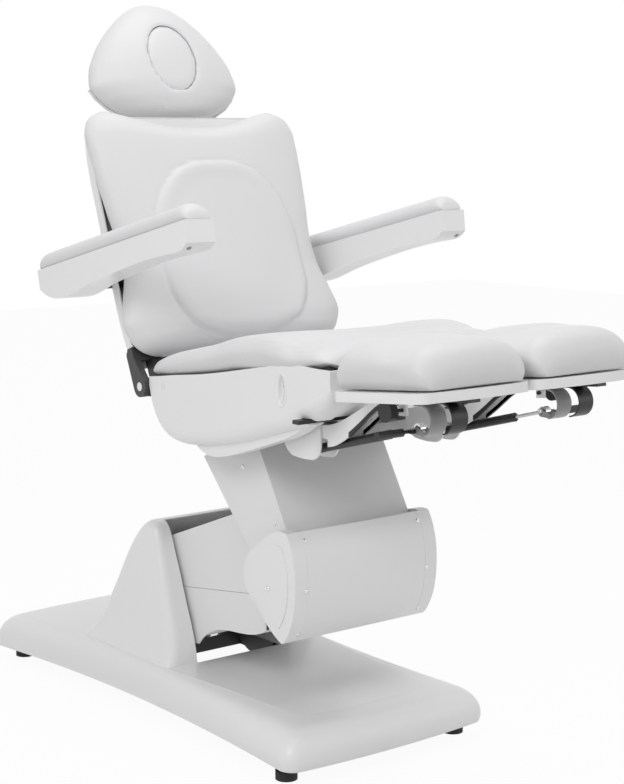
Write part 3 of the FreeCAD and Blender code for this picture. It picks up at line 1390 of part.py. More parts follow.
weld("back_actuator_rod",
     [round_run("back_rod_bar", "back_rod", drive_end - drive_way * num("back_rod_grip") + drive_centre,
                back_aim + drive_centre),
      round_bar("back_eye_ring", "back_eye", "back_eye_width", back_aim, "back_drive_x")],
     [round_bar("back_eye_room", "back_eye_hole", "back_eye_width + overrun", back_aim, "back_drive_x")])

# Back: frame, in the backrest's leaning frame: -Y is its front and +Z runs up the backrest

SHEET_REAR = "(shell_wall + seat_gap - back_cushion_rear)"
cheek_top = BACK_FRAME.multVec(spot("upright_depth / 2 + shell_wall",
                                    "upright_start + back_bar_height / 2"))
inner_cheek = lever("inner_cheek", BACK_HINGE, cheek_top, "cheek_radius", "cheek_neck", "upright_width",
                    "upright_centre")
outer_cheek = lever("outer_cheek", BACK_HINGE, cheek_top, "cheek_radius", "cheek_neck",
                    "cheek_outer_width", "cheek_outer_centre")
upright = box("back_upright", ("upright_width", "upright_depth", "upright_length"),
              ("upright_centre - upright_width / 2", SHEET_REAR, "upright_start"), BACK_FRAME)
up_way = BACK_FRAME.Rotation.multVec(Z_AXIS)


def along_back(x, y, rise):
    return BACK_FRAME.multVec(point(x, y, rise))


socket = round_rod("head_socket", "head_bar_radius + running_clearance + socket_wall", "socket_length",
                   along_back("head_bar_centre", "head_bar_y", "socket_start"), up_way)
socket_bore = round_rod("head_socket_bore", "head_bar_radius + running_clearance",
                        "socket_length + 2 * overrun",
                        along_back("head_bar_centre", "head_bar_y", "socket_start - overrun"), up_way)
# Arms that carry the headrest's sockets out behind the shell
socket_arm = box("socket_arm", ("2 * socket_arm_half", "head_bar_y - head_bar_radius - shell_wall",
                                "back_bar_height"),
                 ("head_bar_centre - socket_arm_half", "0",
                  "upright_start + upright_length - back_bar_height"), BACK_FRAME)
back_lever = lever("back_lever", BACK_HINGE, BACK_TIP, "cheek_radius", "back_lug_radius",
                   "back_lever_width", "back_lever_x")
LEVER_PIN_END = "(back_lever_x - back_drive_x + back_eye_width / 2 + part_clearance)"
weld("back_frame",
     pair(inner_cheek) + pair(outer_cheek) + pair(upright) + pair(socket) + pair(socket_arm)
     + [back_lever,
        round_bar("back_lever_pin", "back_pin", LEVER_PIN_END, BACK_TIP,
                  "back_lever_x - %s / 2" % LEVER_PIN_END),
        box("back_low_bar", ("2 * cheek_outer_centre + cheek_outer_width", "upright_depth",
                             "back_bar_height"),
            ("-cheek_outer_centre - cheek_outer_width / 2", SHEET_REAR, "upright_start"), BACK_FRAME),
        box("back_high_bar", ("2 * upright_centre", "upright_depth", "back_bar_height"),
            ("-upright_centre", SHEET_REAR, "upright_start + upright_length - back_bar_height"),
            BACK_FRAME),
        box("back_sheet", ("2 * sheet_half", "shell_wall", "back_cushion_length * 0.9"),
            ("-sheet_half", "seat_gap - back_cushion_rear", "back_cushion_start + thin_plate"),
            BACK_FRAME),
        round_bar("arm_tube", "arm_tube_radius", "2 * armrest_inner - 2 * seat_gap", ARM_PIVOT),
        round_bar("arm_pins", "arm_pin_radius", "2 * armrest_inner + 2 * arm_pin_reach", ARM_PIVOT)],
     pair(socket_bore)
     + [round_bar("back_hinge_bore", "hinge_shaft_radius + running_clearance",
                  "2 * cheek_outer_centre + cheek_outer_width + overrun", BACK_HINGE)])
HINGE_STUB = "(cheek_outer_centre + cheek_outer_width / 2 - upright_centre + upright_width / 2)"
hinge_stub = round_bar("hinge_stub", "hinge_shaft_radius", HINGE_STUB, BACK_HINGE,
                       "cheek_outer_centre + cheek_outer_width / 2 - %s / 2" % HINGE_STUB)
group("back_hinge_shaft", pair(hinge_stub))

# Back: shell. Height share, half width share, depth share
BACK_SHELL_SHARES = [
    (0.000, 0.955, 0.720),
    (0.060, 0.985, 0.900),
    (0.180, 1.000, 1.000),
    (0.400, 1.000, 1.000),
    (0.620, 0.990, 1.000),
    (0.800, 0.985, 0.960),
    (0.900, 0.972, 0.860),
    (0.960, 0.945, 0.700),
    (1.000, 0.905, 0.480),
]


def back_shell_body(inset, front_y):
    length = num("shell_length") - inset
    rear_from = num("seat_gap - back_cushion_rear")
    wires = []
    for rise, half_share, depth_share in BACK_SHELL_SHARES:
        level = num("shell_start") + rise * length
        half = half_share * num("shell_half") - inset
        rear = rear_from + depth_share * num("shell_depth") - inset
        corner = min(num("shell_round"), (rear - rear_from) * 0.7)
        lean = TURN_SHARE * corner

        def at(x, y):
            return Vector(x, y, level)

        wires.append(wire_of([
            [at(-half, front_y), at(half, front_y)],
            [at(half, front_y), at(half, rear - corner)],
            [at(half, rear - corner), at(half - lean, rear - lean), at(half - corner, rear)],
            [at(half - corner, rear), at(-half + corner, rear)],
            [at(-half + corner, rear), at(-half + lean, rear - lean), at(-half, rear - corner)],
            [at(-half, rear - corner), at(-half, front_y)],
        ], arcs=(2, 4)))
    return loft(wires)


shell_front = num("seat_gap - back_cushion_rear")
shell_wall = num("shell_wall")
shell_outside = back_shell_body(0, shell_front)
back_shell = shell_outside.cut(back_shell_body(shell_wall, shell_front - overrun))
shell_rib = block(point("upright_centre - upright_width / 2", SHEET_REAR + " + upright_depth + seat_gap",
                        "upright_start + upright_length / 4"),
                  point("upright_centre + upright_width / 2", "shell_depth + overrun",
                        "upright_start + upright_length / 4 + shell_wall"))
high_rib = shell_rib.translated(Vector(0, 0, num("upright_length / 2")))
back_shell = fuse_all([back_shell] + both(shell_rib.common(shell_outside))
                      + both(high_rib.common(shell_outside)))
arm_place = local(BACK_FRAME, ARM_PIVOT)
back_shell = back_shell.cut(bar_x(num("arm_tube_radius + seat_gap"), arm_place, -num("back_half"),
                                  num("back_half")))
# Notches in its lower edge for the frame's cheeks
outer_cheek_notch = block(
    point("cheek_outer_centre - cheek_outer_width / 2 - 2 * part_clearance", "-overrun",
          "shell_start - overrun"),
    point("shell_half + overrun", "cheek_radius + 4 * part_clearance",
          "upright_start + back_bar_height + part_clearance"))
inner_cheek_notch = block(
    point("upright_centre - upright_width / 2 - 2 * part_clearance", "-overrun",
          "shell_start - overrun"),
    point("upright_centre + upright_width / 2 + 2 * part_clearance", "cheek_radius + 4 * part_clearance",
          "upright_start"))
for notch in both(outer_cheek_notch) + both(inner_cheek_notch):
    back_shell = back_shell.cut(notch)
socket_slot = block(
    point("head_bar_centre - socket_arm_half - part_clearance", "0",
          "upright_start + upright_length - back_bar_height - part_clearance"),
    point("head_bar_centre + socket_arm_half + part_clearance", "shell_depth + overrun",
          "upright_start + upright_length + part_clearance"))
for slot in both(socket_slot):
    back_shell = back_shell.cut(slot)
shaped("back_shell", back_shell, BACK_FRAME)

# Back: cushion, with a dip in its top edge and an egg-shaped raised panel
BACK_CUSHION_SHARES = [
    (0.000, 0.840, 0.330, 0.480),
    (0.022, 0.910, 0.540, 0.700),
    (0.067, 0.955, 0.700, 0.880),
    (0.125, 1.000, 0.770, 0.970),
    (0.215, 0.960, 0.790, 1.000),
    (0.335, 0.895, 0.780, 0.990),
    (0.420, 0.888, 0.765, 0.980),
    (0.570, 0.925, 0.750, 0.955),
    (0.740, 0.955, 0.730, 0.920),
    (0.870, 0.945, 0.690, 0.850),
    (0.940, 0.905, 0.600, 0.700),
    (0.985, 0.810, 0.430, 0.470),
    (1.000, 0.720, 0.300, 0.330),
]
# The panel's outline: up its length, half width
PANEL_SHARES = [(0.000, 0.000), (0.030, 0.480), (0.110, 0.800), (0.300, 0.985), (0.520, 1.000),
                (0.740, 0.900), (0.900, 0.640), (0.975, 0.340), (1.000, 0.000)]


def back_lay(along):
    return lambda x, up: Vector(x, -num("back_cushion_rear") - up, num("back_cushion_start") + along)


def back_cushion_body(extra):
    return cushion(BACK_CUSHION_SHARES, back_lay, num("back_cushion_length"), num("back_half"),
                   num("back_cushion_depth"), num("back_tuck"), extra)


dip = num("top_dip")
dip_half = num("top_dip_half")
dip_radius = (dip_half * dip_half + dip * dip) / (2 * dip)
cushion_top = num("back_cushion_start + back_cushion_length")
dip_room = Part.makeCylinder(dip_radius, 2 * num("back_cushion_depth"),
                             Vector(0, -2 * num("back_cushion_depth"), cushion_top - dip + dip_radius),
                             Y_AXIS)
egg_points = [Vector(width * num("panel_half"), -2 * num("back_cushion_depth"),
                     num("panel_start") + up * num("panel_length")) for up, width in PANEL_SHARES]
egg_twins = [Vector(-place.x, place.y, place.z) for place in egg_points]
egg = Part.Face(wire_of([egg_points, egg_twins[::-1]])).extrude(
    Vector(0, 2 * num("back_cushion_depth") - num("back_cushion_rear") - 2 * num("back_tuck"), 0))
back_cushion = back_cushion_body(0).cut(dip_room)
back_cushion = back_cushion.fuse(back_cushion_body(num("panel_raise")).common(egg))
shaped("back_cushion", back_cushion, BACK_FRAME)

# Headrest: bars, shell, cushion and the breathing plug

head_bar = round_rod("head_bar", "head_bar_radius", "head_pivot - head_bar_start",
                     along_back("head_bar_centre", "head_bar_y", "head_bar_start"), up_way)
head_axis = spot("head_bar_y", "head_pivot")
weld("headrest_bars", pair(head_bar)
     + [round_bar("head_hinge", "head_hinge_radius", "2 * head_hinge_half", head_axis, "0", BACK_FRAME)])


def oval(half_x, start, length, front_y, rear_y):
    """An upright oval prism between two depths of the headrest."""
    centre = Vector(0, front_y, start + length / 2)
    long_end = centre + Vector(0, 0, max(length / 2, half_x)) if length / 2 > half_x else \
        centre + Vector(half_x, 0, 0)
    short_end = centre + Vector(half_x, 0, 0) if length / 2 > half_x else centre + Vector(0, 0, length / 2)
    curve = Part.Ellipse(long_end, short_end, centre)
    return Part.Face(Part.Wire([curve.toShape()])).extrude(Vector(0, rear_y - front_y, 0))


plate_front = num("head_set_back")
plate_rear = plate_front + num("head_plate")
plug_gap = num("plug_gap")
plug_room = oval(num("plug_half") + plug_gap, num("plug_start") - plug_gap,
                 num("plug_length") + 2 * plug_gap, -2 * num("head_depth"), num("head_depth"))
head_plate = oval(num("head_plate_half"), num("head_plate_start"), num("head_plate_length"),
                  plate_front, plate_rear).cut(plug_room)
lug_low = num("head_lug_centre - head_lug_width / 2")
lug_high = num("head_lug_centre + head_lug_width / 2")
lug_root = block(Vector(lug_low, plate_front, head_axis.z - num("head_lug_radius")),
                 Vector(lug_high, head_axis.y, head_axis.z + num("head_lug_radius")))
head_lug = bar_x(num("head_lug_radius"), head_axis, lug_low, lug_high).fuse(lug_root).cut(plug_room)
head_shell = fuse_all([head_plate] + both(head_lug)).cut(
    bar_x(num("head_hinge_radius + running_clearance"), head_axis, -num("head_hinge_half") - overrun,
          num("head_hinge_half") + overrun))
shaped("headrest_shell", head_shell, BACK_FRAME)

HEAD_SHARES = [
    (0.000, 0.220, 0.300, 0.400),
    (0.045, 0.460, 0.540, 0.680),
    (0.110, 0.720, 0.660, 0.850),
    (0.200, 0.905, 0.740, 0.955),
    (0.310, 1.000, 0.770, 1.000),
    (0.430, 0.970, 0.770, 1.000),
    (0.560, 0.870, 0.750, 0.975),
    (0.690, 0.725, 0.700, 0.910),
    (0.810, 0.545, 0.620, 0.810),
    (0.910, 0.350, 0.500, 0.660),
    (1.000, 0.140, 0.300, 0.410),
]


def head_lay(along):
    return lambda x, up: Vector(x, plate_front - num("seat_gap") - up, num("head_start") + along)


def head_body(extra):
    return cushion(HEAD_SHARES, head_lay, num("head_length"), num("head_half"), num("head_depth"),
                   num("head_tuck"), extra)


shaped("headrest_cushion", head_body(0).cut(plug_room), BACK_FRAME)
plug_prism = oval(num("plug_half"), num("plug_start"), num("plug_length"), -2 * num("head_depth"),
                  plate_front - num("head_depth - plug_depth"))
shaped("breathing_plug", head_body(num("plug_raise")).common(plug_prism), BACK_FRAME)

# Armrests, in their own sloping frame: -Y runs to the front, the seam under the pad is Z zero
ARMREST_BELLY_SHARES = [(0.000, -0.560), (0.048, -0.810), (0.120, -0.975), (0.192, -1.000),
                        (0.320, -0.880), (0.460, -0.790), (0.890, -0.750), (0.965, -0.720),
                        (0.992, -0.600)]
PAD_FRONT_SHARES = [(1.000, 0.000), (0.998, 0.450), (0.982, 0.860), (0.940, 1.010)]
PAD_REAR_SHARES = [(0.060, 1.010), (0.018, 0.860), (0.002, 0.450), (0.000, 0.000)]
PAD_SIDE_SHARE = 0.66
armrest_low = num("armrest_inner")
armrest_high = num("armrest_inner + armrest_width")
armrest_length = num("armrest_length")
armrest_wall = num("armrest_wall")


def armrest_body(inset):
    """The shell's outside or, with an inset and raised past the seam, its hollow."""
    belly = [side(-inset - forward * (armrest_length - 2 * inset), drop * (num("armrest_drop") - inset))
             for forward, drop in ARMREST_BELLY_SHARES]
    ends = [side(-inset, inset), side(inset - armrest_length, inset)]
    outline = wire_of([[ends[0], belly[0]], belly, [belly[-1], ends[1]], ends[::-1]])
    return slab(outline, armrest_low + inset, armrest_high - inset)


armrest_solid = armrest_body(0)
hollow = armrest_body(armrest_wall)
pin_place = local(ARM_FRAME, ARM_PIVOT)
boss = bar_x(num("arm_boss_radius"), pin_place, armrest_low, armrest_low + num("arm_pin_reach") +
             armrest_wall)
boss = boss.common(armrest_solid)
pin_bore = bar_x(num("arm_pin_radius + running_clearance"), pin_place, armrest_low - overrun,
                 armrest_low + num("arm_pin_reach + seat_gap"))
armrest_shell = fuse_all([armrest_solid.cut(hollow), boss]).cut(pin_bore)
pad_half = num("armrest_width") / 2
pad_centre = armrest_low + pad_half


def pad_lay(x, up):
    return Vector(pad_centre + x, 0, num("seat_gap") + up)


pad_section = cushion_section(pad_lay, pad_half, PAD_SIDE_SHARE * num("pad_height"),
                              num("pad_height"), num("pad_tuck"))
pad_ends = [[side(-forward * armrest_length, num("seat_gap") + up * num("pad_height"))
             for forward, up in shares] for shares in (PAD_FRONT_SHARES, PAD_REAR_SHARES)]
pad_outline = wire_of([pad_ends[0], [pad_ends[0][-1], pad_ends[1][0]], pad_ends[1],
                       [pad_ends[1][-1], pad_ends[0][0]]])
armrest_pad = Part.Face(pad_section).extrude(Vector(0, -armrest_length, 0)).common(
    slab(pad_outline, armrest_low - pad_half, armrest_high + pad_half))
for hand, turned in (("left", False), ("right", True)):
    for name, form in (("armrest_shell", armrest_shell), ("armrest_pad", armrest_pad)):
        shaped("%s_%s" % (name, hand), flipped(form) if turned else form, ARM_FRAME)

# Leg rests: outlines shared by both sides

BRACKET_REAR_SHARES = [(0.100, 1.000), (0.000, 0.720), (0.060, 0.250), (0.250, 0.030)]
BRACKET_FOOT_SHARES = [(0.250, 0.030), (0.500, 0.000), (0.800, 0.020)]
BRACKET_FRONT_SHARES = [(0.800, 0.020), (0.960, 0.200), (1.000, 0.550), (0.970, 1.000)]
LEG_ARM_TOP_SHARES = [(0.000, 0.390), (0.180, 0.400), (0.500, 0.690), (0.800, 0.966)]
LEG_ARM_FOOT_SHARES = [(1.000, 0.950), (0.840, 0.880), (0.620, 0.560), (0.400, 0.220), (0.220, 0.030),
                       (0.060, 0.000)]
LEG_ARM_HUB_SHARES = [(0.060, 0.000), (-0.050, 0.080), (-0.075, 0.240), (-0.050, 0.350), (0.000, 0.390)]
LEG_ARM_END_SHARES = [(1.000, 1.000)]
LEG_CUSHION_SHARES = [
    (0.000, 0.890, 0.420, 0.520),
    (0.043, 0.975, 0.780, 0.860),
    (0.210, 1.000, 0.900, 0.965),
    (0.420, 1.000, 0.915, 1.000),
    (0.630, 1.000, 0.820, 0.945),
    (0.840, 0.986, 0.800, 0.960),
    (0.955, 0.950, 0.690, 0.880),
    (1.000, 0.860, 0.420, 0.580),
]


def bracket_points(shares):
    return in_box(shares, -num("bracket_rear_y"), num("bracket_length"),
                  num("bracket_top - bracket_height"), num("bracket_height"))


def leg_arm_points(shares):
    return in_box(shares, LEG_PIVOT.y, num("leg_arm_reach"), LEG_PIVOT.z - num("leg_arm_drop"),
                  num("leg_arm_height"))


bracket_runs = [bracket_points(shares) for shares in (
    BRACKET_REAR_SHARES, BRACKET_FOOT_SHARES, BRACKET_FRONT_SHARES)]
bracket_runs.append([bracket_runs[-1][-1], bracket_runs[0][0]])
arm_end = leg_arm_points(LEG_ARM_END_SHARES)[0]
arm_top_run = leg_arm_points(LEG_ARM_TOP_SHARES)
arm_foot_run = leg_arm_points(LEG_ARM_FOOT_SHARES)
leg_arm_runs = [arm_top_run, [arm_top_run[-1], arm_end], [arm_end, arm_foot_run[0]], arm_foot_run,
                leg_arm_points(LEG_ARM_HUB_SHARES)]
leg_arm_hollow = [[place - spot("0", "leg_arm_wall") for place in run] for run in leg_arm_runs]

RAIL_TOP = "(-tray_depth - seat_gap)"
PLATE_TOP = "(-tray_depth - 2 * seat_gap - rail_bar_depth)"
PLATE_FOOT = "(-tray_depth - 2 * seat_gap - rail_bar_depth - leg_plate_depth)"
eye_place = local(LEG_FRAME, SPRING_EYE)
spring_up = side(-(SPRING_EYE - SPRING_ANCHOR).z, (SPRING_EYE - SPRING_ANCHOR).y).normalize() * -1
spring_aim = SPRING_EYE + spring_up * num("spring_aim_lift")
spring_way = (spring_aim - SPRING_ANCHOR).normalize()
spring_end = SPRING_ANCHOR + spring_way * num("spring_tube_length")


def strap_band(name, along, top, x):
    """A C-shaped band that hangs from its top flange and opens to the rear."""
    radius = num("strap_radius")
    centre = side(-num(along), num(top) - radius)
    inner = radius - num("strap_metal")

    def rim(length):
        return [centre + side(0, length), centre - side(length, 0), centre - side(0, length)]

    outer_rim = rim(radius)
    inner_rim = rim(inner)
    band = plate(name + "_band", [outer_rim, [outer_rim[2], inner_rim[2]], inner_rim[::-1],
                                  [inner_rim[0], outer_rim[0]]], "strap_width", x, (0, 2), LEG_FRAME)
    flange = box(name + "_flange", ("strap_width", "strap_flange", "strap_metal"),
                 ("(%s) - strap_width / 2" % x, "-(%s)" % along, "%s - strap_metal" % top), LEG_FRAME)
    return [band, flange], centre - side(0, radius)


def leg_side(hand, way):
    """One leg rest; way is + for the person's left and - for the right."""
    x = "(%shardware_x)" % ("" if way > 0 else "-")
    out = "+" if way > 0 else "-"

    def named(name):
        return "%s_%s" % (name, hand)

    def across(name, size, rest, start_x, frame=LEG_FRAME):
        """A block set out from the hardware's line; start_x is its side nearest the chair."""
        low = start_x if way > 0 else "-(%s) - (%s)" % (start_x, size[0])
        return box(name, size, ("%s + %s" % (x, low), rest[0], rest[1]), frame)

    # Bracket that swings outward under the seat, with the tilt and spring pins
    bracket = plate(named("bracket_body"), bracket_runs, "2 * bracket_half", x)
    cavity_size = ("2 * (bracket_half - bracket_wall)", "bracket_length + overrun",
                   "bracket_height + overrun - bracket_roof")
    bracket_cavity = box(named("bracket_cavity"), cavity_size,
                         ("%s - bracket_half + bracket_wall" % x,
                          "-bracket_rear_y - overrun + bracket_wall - bracket_length - overrun",
                          "bracket_top - bracket_height - overrun"))
    hollow_bracket = weldment(named("bracket_shell"), [bracket], [bracket_cavity])
    swing_pin = round_rod(named("swing_pin_bar"), "swing_pin", "swing_pin_length + bracket_roof",
                          point(x, "-swing_pivot_y", "bracket_top - bracket_roof"), Z_AXIS)
    weld(named("leg_bracket"), [
        hollow_bracket, swing_pin,
        round_bar(named("tilt_pin_bar"), "leg_pin", "2 * bracket_half", LEG_PIVOT, x),
        round_bar(named("anchor_pin_bar"), "anchor_pin", "2 * bracket_half", SPRING_ANCHOR, x)])

    # Arm: a channel open below, with the guide plate for the rail and the knob's lug
    channel = plate(named("leg_channel"), leg_arm_runs, "2 * leg_arm_half", x)
    channel_room = plate(named("leg_channel_room"), leg_arm_hollow,
                         "2 * (leg_arm_half - leg_arm_wall)", x)
    hollow_channel = weldment(named("leg_channel_shell"), [channel], [channel_room])
    guide = across(named("leg_guide"), ("2 * leg_plate_half", "leg_plate_length", "leg_plate_depth"),
                   ("-leg_plate_start - leg_plate_length", PLATE_FOOT), "-leg_plate_half")
    lip_size = ("leg_lip", "leg_plate_start + leg_plate_length - leg_lip_start",
                "rail_bar_depth + seat_gap")
    lip_rest = ("-leg_plate_start - leg_plate_length", PLATE_TOP + " - seat_gap")
    lips = [across(named("leg_lip_%s" % name), lip_size, lip_rest, start)
            for name, start in (("outer", "rail_bar_half + seat_gap"),
                                ("inner", "-rail_bar_half - seat_gap - leg_lip"))]
    knob_place = spot("-knob_w", "-knob_drop")
    lug = across(named("knob_lug"), ("knob_lug_width", "2 * knob_lug_half",
                                     "knob_drop + knob_lug_half + %s" % PLATE_TOP),
                 ("-knob_w - knob_lug_half", "-knob_drop - knob_lug_half"),
                 "leg_plate_half - knob_lug_width")
    knob_bore = round_bar(named("knob_bore"), "knob_rod + running_clearance",
                          "2 * knob_lug_width + 2 * part_clearance", knob_place,
                          "%s %s (leg_plate_half - knob_lug_width / 2)" % (x, out), LEG_FRAME)
    tilt_bore = round_bar(named("leg_tilt_bore"), "leg_pin + running_clearance", "4 * bracket_half",
                          LEG_PIVOT, x)
    # Notch in the arm's side walls for the bracket's spring pin when the rest is fully raised
    notch_size = ("2 * leg_arm_half + 2 * overrun", "pin_notch_length", "pin_notch_height + overrun")
    pin_notch = box(named("pin_notch"), notch_size,
                    ("%s - leg_arm_half - overrun" % x, "-leg_pivot_y - pin_notch_front",
                     "leg_pivot_z - leg_arm_drop - overrun"))
    weld(named("leg_arm"), [hollow_channel, guide, lug] + lips, [tilt_bore, knob_bore, pin_notch])

    # Clamp knob and release grip on the outer side
    rod_length = "(knob_x - knob_rod_start)"
    weld(named("leg_clamp_knob"), [
        round_bar(named("knob_wheel"), "knob_radius", "knob_depth", knob_place,
                  "%s %s knob_x" % (x, out), LEG_FRAME),
        round_bar(named("knob_stem"), "knob_rod", rod_length, knob_place,
                  "%s %s (knob_x + knob_rod_start) / 2" % (x, out), LEG_FRAME)])
    # The grip is forked about a hub at the end of the strap's bolt and turns on a pin along the leg
    hub_x = "(ear_centre + ear_metal / 2 + spring_pin + grip_hub_radius)"
    fork_end = "(%s + grip_hub_radius + part_clearance + ear_metal)" % hub_x
    fork_half = "(grip_hub_length / 2 + part_clearance + ear_metal)"
    along_leg = LEG_FRAME.Rotation.multVec(Y_AXIS)
    hub_place = LEG_FRAME.multVec(Vector(num("%s %s %s" % (x, out, hub_x)), eye_place.y, eye_place.z))

    def hub_rod(name, radius, half):
        return round_rod(named(name), radius, "2 * " + half, hub_place - along_leg * num(half), along_leg)

    def fork_block(name, start_x, width, start_y):
        piece = across(named(name), ("%s - %s" % (fork_end, start_x), width, "2 * grip_rod"),
                       ("0", "0"), start_x)
        piece.Placement = LEG_FRAME.multiply(Placement(
            Vector(num("%s + %s" % (x, start_x if way > 0 else "-" + fork_end)),
                   eye_place.y + num(start_y), eye_place.z - num("grip_rod")), Rotation()))
        return piece

    weld(named("leg_release_grip"), [
        round_bar(named("grip_handle"), "grip_radius", "grip_length", eye_place,
                  "%s %s (grip_start + grip_length / 2)" % (x, out), LEG_FRAME),
        round_bar(named("grip_stem"), "grip_rod", "grip_start + grip_rod - %s + ear_metal / 2" % fork_end,
                  eye_place, "%s %s (grip_start + grip_rod + %s - ear_metal / 2) / 2" % (x, out, fork_end),
                  LEG_FRAME),
        fork_block("grip_fork_root", "(%s - ear_metal)" % fork_end, "2 * " + fork_half, "-" + fork_half),
        fork_block("grip_cheek_rear", "(%s - grip_rod)" % hub_x, "ear_metal", fork_half + " - ear_metal"),
        fork_block("grip_cheek_front", "(%s - grip_rod)" % hub_x, "ear_metal", "-" + fork_half),
        hub_rod("grip_pin", "grip_rod", fork_half)])

    # Strap that holds the gas spring's bolt
    grey_band, grey_foot = strap_band(named("grey"), "grey_strap_w", PLATE_FOOT + " - seat_gap", x)
    ear_root = grey_foot + spot("-ear_metal", "ear_radius / 2")
    ears = [lever(named("strap_ear_%s" % name), ear_root, eye_place, "ear_radius / 2", "ear_radius",
                  "ear_metal", "%s %s ear_centre" % (x, sign), LEG_FRAME)
            for name, sign in (("first", "+"), ("second", "-"))]
    bolt = round_bar(named("strap_bolt"), "spring_pin",
                     "2 * ear_centre + ear_metal + 2 * spring_pin + 2 * part_clearance",
                     eye_place, x, LEG_FRAME)
    weld(named("leg_strap"), grey_band + ears + [bolt, hub_rod("grip_hub", "grip_hub_radius",
                                                               "(grip_hub_length / 2)")],
         [hub_rod("grip_hub_bore", "(grip_rod + running_clearance)", fork_half)])

    # Gas spring
    middle = Vector(num(x), 0, 0)
    weld(named("leg_gas_spring"),
         [round_rod(named("spring_tube_body"), "spring_tube", "spring_tube_length",
                    SPRING_ANCHOR + middle, spring_way),
          round_bar(named("spring_base_eye"), "spring_base_ring", "spring_ring_width", SPRING_ANCHOR, x)],
         [round_bar(named("spring_base_bore"), "anchor_pin + running_clearance", "4 * bracket_half",
                    SPRING_ANCHOR, x),
          round_rod(named("spring_bore"), "spring_rod + running_clearance",
                    "spring_bore_length + overrun",
                    spring_end - spring_way * num("spring_bore_length") + middle, spring_way)])
    weld(named("leg_spring_rod"),
         [round_run(named("spring_rod_bar"), "spring_rod",
                    spring_end - spring_way * num("spring_rod_grip") + middle, spring_aim + middle),
          round_bar(named("spring_eye_ring"), "spring_ring", "spring_ring_width", spring_aim, x)],
         [round_bar(named("spring_eye_room"), "spring_hole", "spring_ring_width + overrun",
                    spring_aim, x)])

    # Rail with the black strap, which slides with the tray
    black_band, _ = strap_band(named("black"), "black_strap_w", RAIL_TOP + " - rail_bar_depth", x)
    weld(named("leg_rail"), black_band + [
        across(named("rail_bar"), ("2 * rail_bar_half", "rail_bar_length", "rail_bar_depth"),
               ("-rail_bar_start - rail_bar_length", RAIL_TOP + " - rail_bar_depth"),
               "-rail_bar_half")])

    # Tray and cushion
    centre_x = way * num("leg_centre")
    half = num("leg_half")
    length = num("leg_length")
    corner = num("tray_corner")
    lean = TURN_SHARE * corner

    def at(across_x, forward):
        return Vector(centre_x + across_x, -forward, -num("tray_depth"))

    tray_face = Part.Face(wire_of([
        [at(corner - half, 0), at(half - corner, 0)],
        [at(half - corner, 0), at(half - lean, lean), at(half, corner)],
        [at(half, corner), at(half, length - corner)],
        [at(half, length - corner), at(half - lean, length - lean), at(half - corner, length)],
        [at(half - corner, length), at(0, length + num("leg_bow")), at(corner - half, length)],
        [at(corner - half, length), at(lean - half, length - lean), at(-half, length - corner)],
        [at(-half, length - corner), at(-half, corner)],
        [at(-half, corner), at(lean - half, lean), at(corner - half, 0)],
    ], arcs=(1, 3, 4, 5, 7)))
    shaped(named("leg_tray"), tray_face.extrude(Vector(0, 0, num("tray_depth"))), LEG_FRAME)

    def leg_lay(along):
        return lambda across_x, up: Vector(centre_x + across_x, -along, num("seat_gap") + up)

    shaped(named("leg_cushion"),
           cushion(LEG_CUSHION_SHARES, leg_lay, length + num("leg_bow"), half,
                   num("leg_cushion_height"), num("leg_tuck")), LEG_FRAME)


leg_side("left", 1)
leg_side("right", -1)

# Check every object and write one file for each node

doc.recompute()
failed = [item.Name for item in doc.Objects if "Invalid" in item.State or "Error" in item.State]
bad = [piece.Label for piece in nodes
       if piece.Shape.isNull() or not piece.Shape.isValid() or not piece.Shape.Solids]
if failed or bad:
    raise RuntimeError("failed objects: %s, bad shapes: %s" % (failed, bad))

os.makedirs("parts", exist_ok=True)
for piece in nodes:
    piece.Shape.exportStep("parts/%s.step" % piece.Label)
print("%d nodes" % len(nodes))
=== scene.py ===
import math

import bmesh
import bpy
import numpy as np
from mathutils import Matrix, Vector
from mathutils.kdtree import KDTree


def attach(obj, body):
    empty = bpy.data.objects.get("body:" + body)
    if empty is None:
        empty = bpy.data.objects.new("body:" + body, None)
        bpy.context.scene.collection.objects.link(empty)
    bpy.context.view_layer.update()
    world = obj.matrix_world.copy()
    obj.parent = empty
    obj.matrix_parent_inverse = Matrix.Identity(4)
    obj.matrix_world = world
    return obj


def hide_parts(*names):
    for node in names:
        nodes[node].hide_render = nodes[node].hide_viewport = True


# Podiatry chair. Sizes in the tables are millimetres, everything made from them is in metres.
# +Z is up, the person faces -Y and +X is the person's left hand.

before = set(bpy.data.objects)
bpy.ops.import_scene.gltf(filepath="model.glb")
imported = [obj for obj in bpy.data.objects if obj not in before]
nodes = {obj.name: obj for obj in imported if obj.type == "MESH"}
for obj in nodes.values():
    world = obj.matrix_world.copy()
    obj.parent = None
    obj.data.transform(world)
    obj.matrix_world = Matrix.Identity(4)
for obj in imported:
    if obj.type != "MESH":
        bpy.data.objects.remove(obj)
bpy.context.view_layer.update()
MM = 0.001
HANDS = (("left", 1), ("right", -1))
scene = bpy.context.scene


def place_in_scene(item):
    scene.collection.objects.link(item)
    return item


# Places

def leaning(y, z, degrees):
    """A frame that starts at y, z and leans to the rear by some degrees."""
    return Matrix.Translation((0, y * MM, z * MM)) @ Matrix.Rotation(-math.radians(degrees), 4, "X")


HINGE_Y, HINGE_Z = 145, 790
BACK = leaning(HINGE_Y, HINGE_Z, 21.5)
SEAT = leaning(HINGE_Y, HINGE_Z, 8.9)
LEG = leaning(-562, 862, 5.5)
ARM = leaning(405, 1044, 13)


def spot(place, x, y, z):
    return place @ Vector((x * MM, y * MM, z * MM))


# Camera, as worked out from the photo

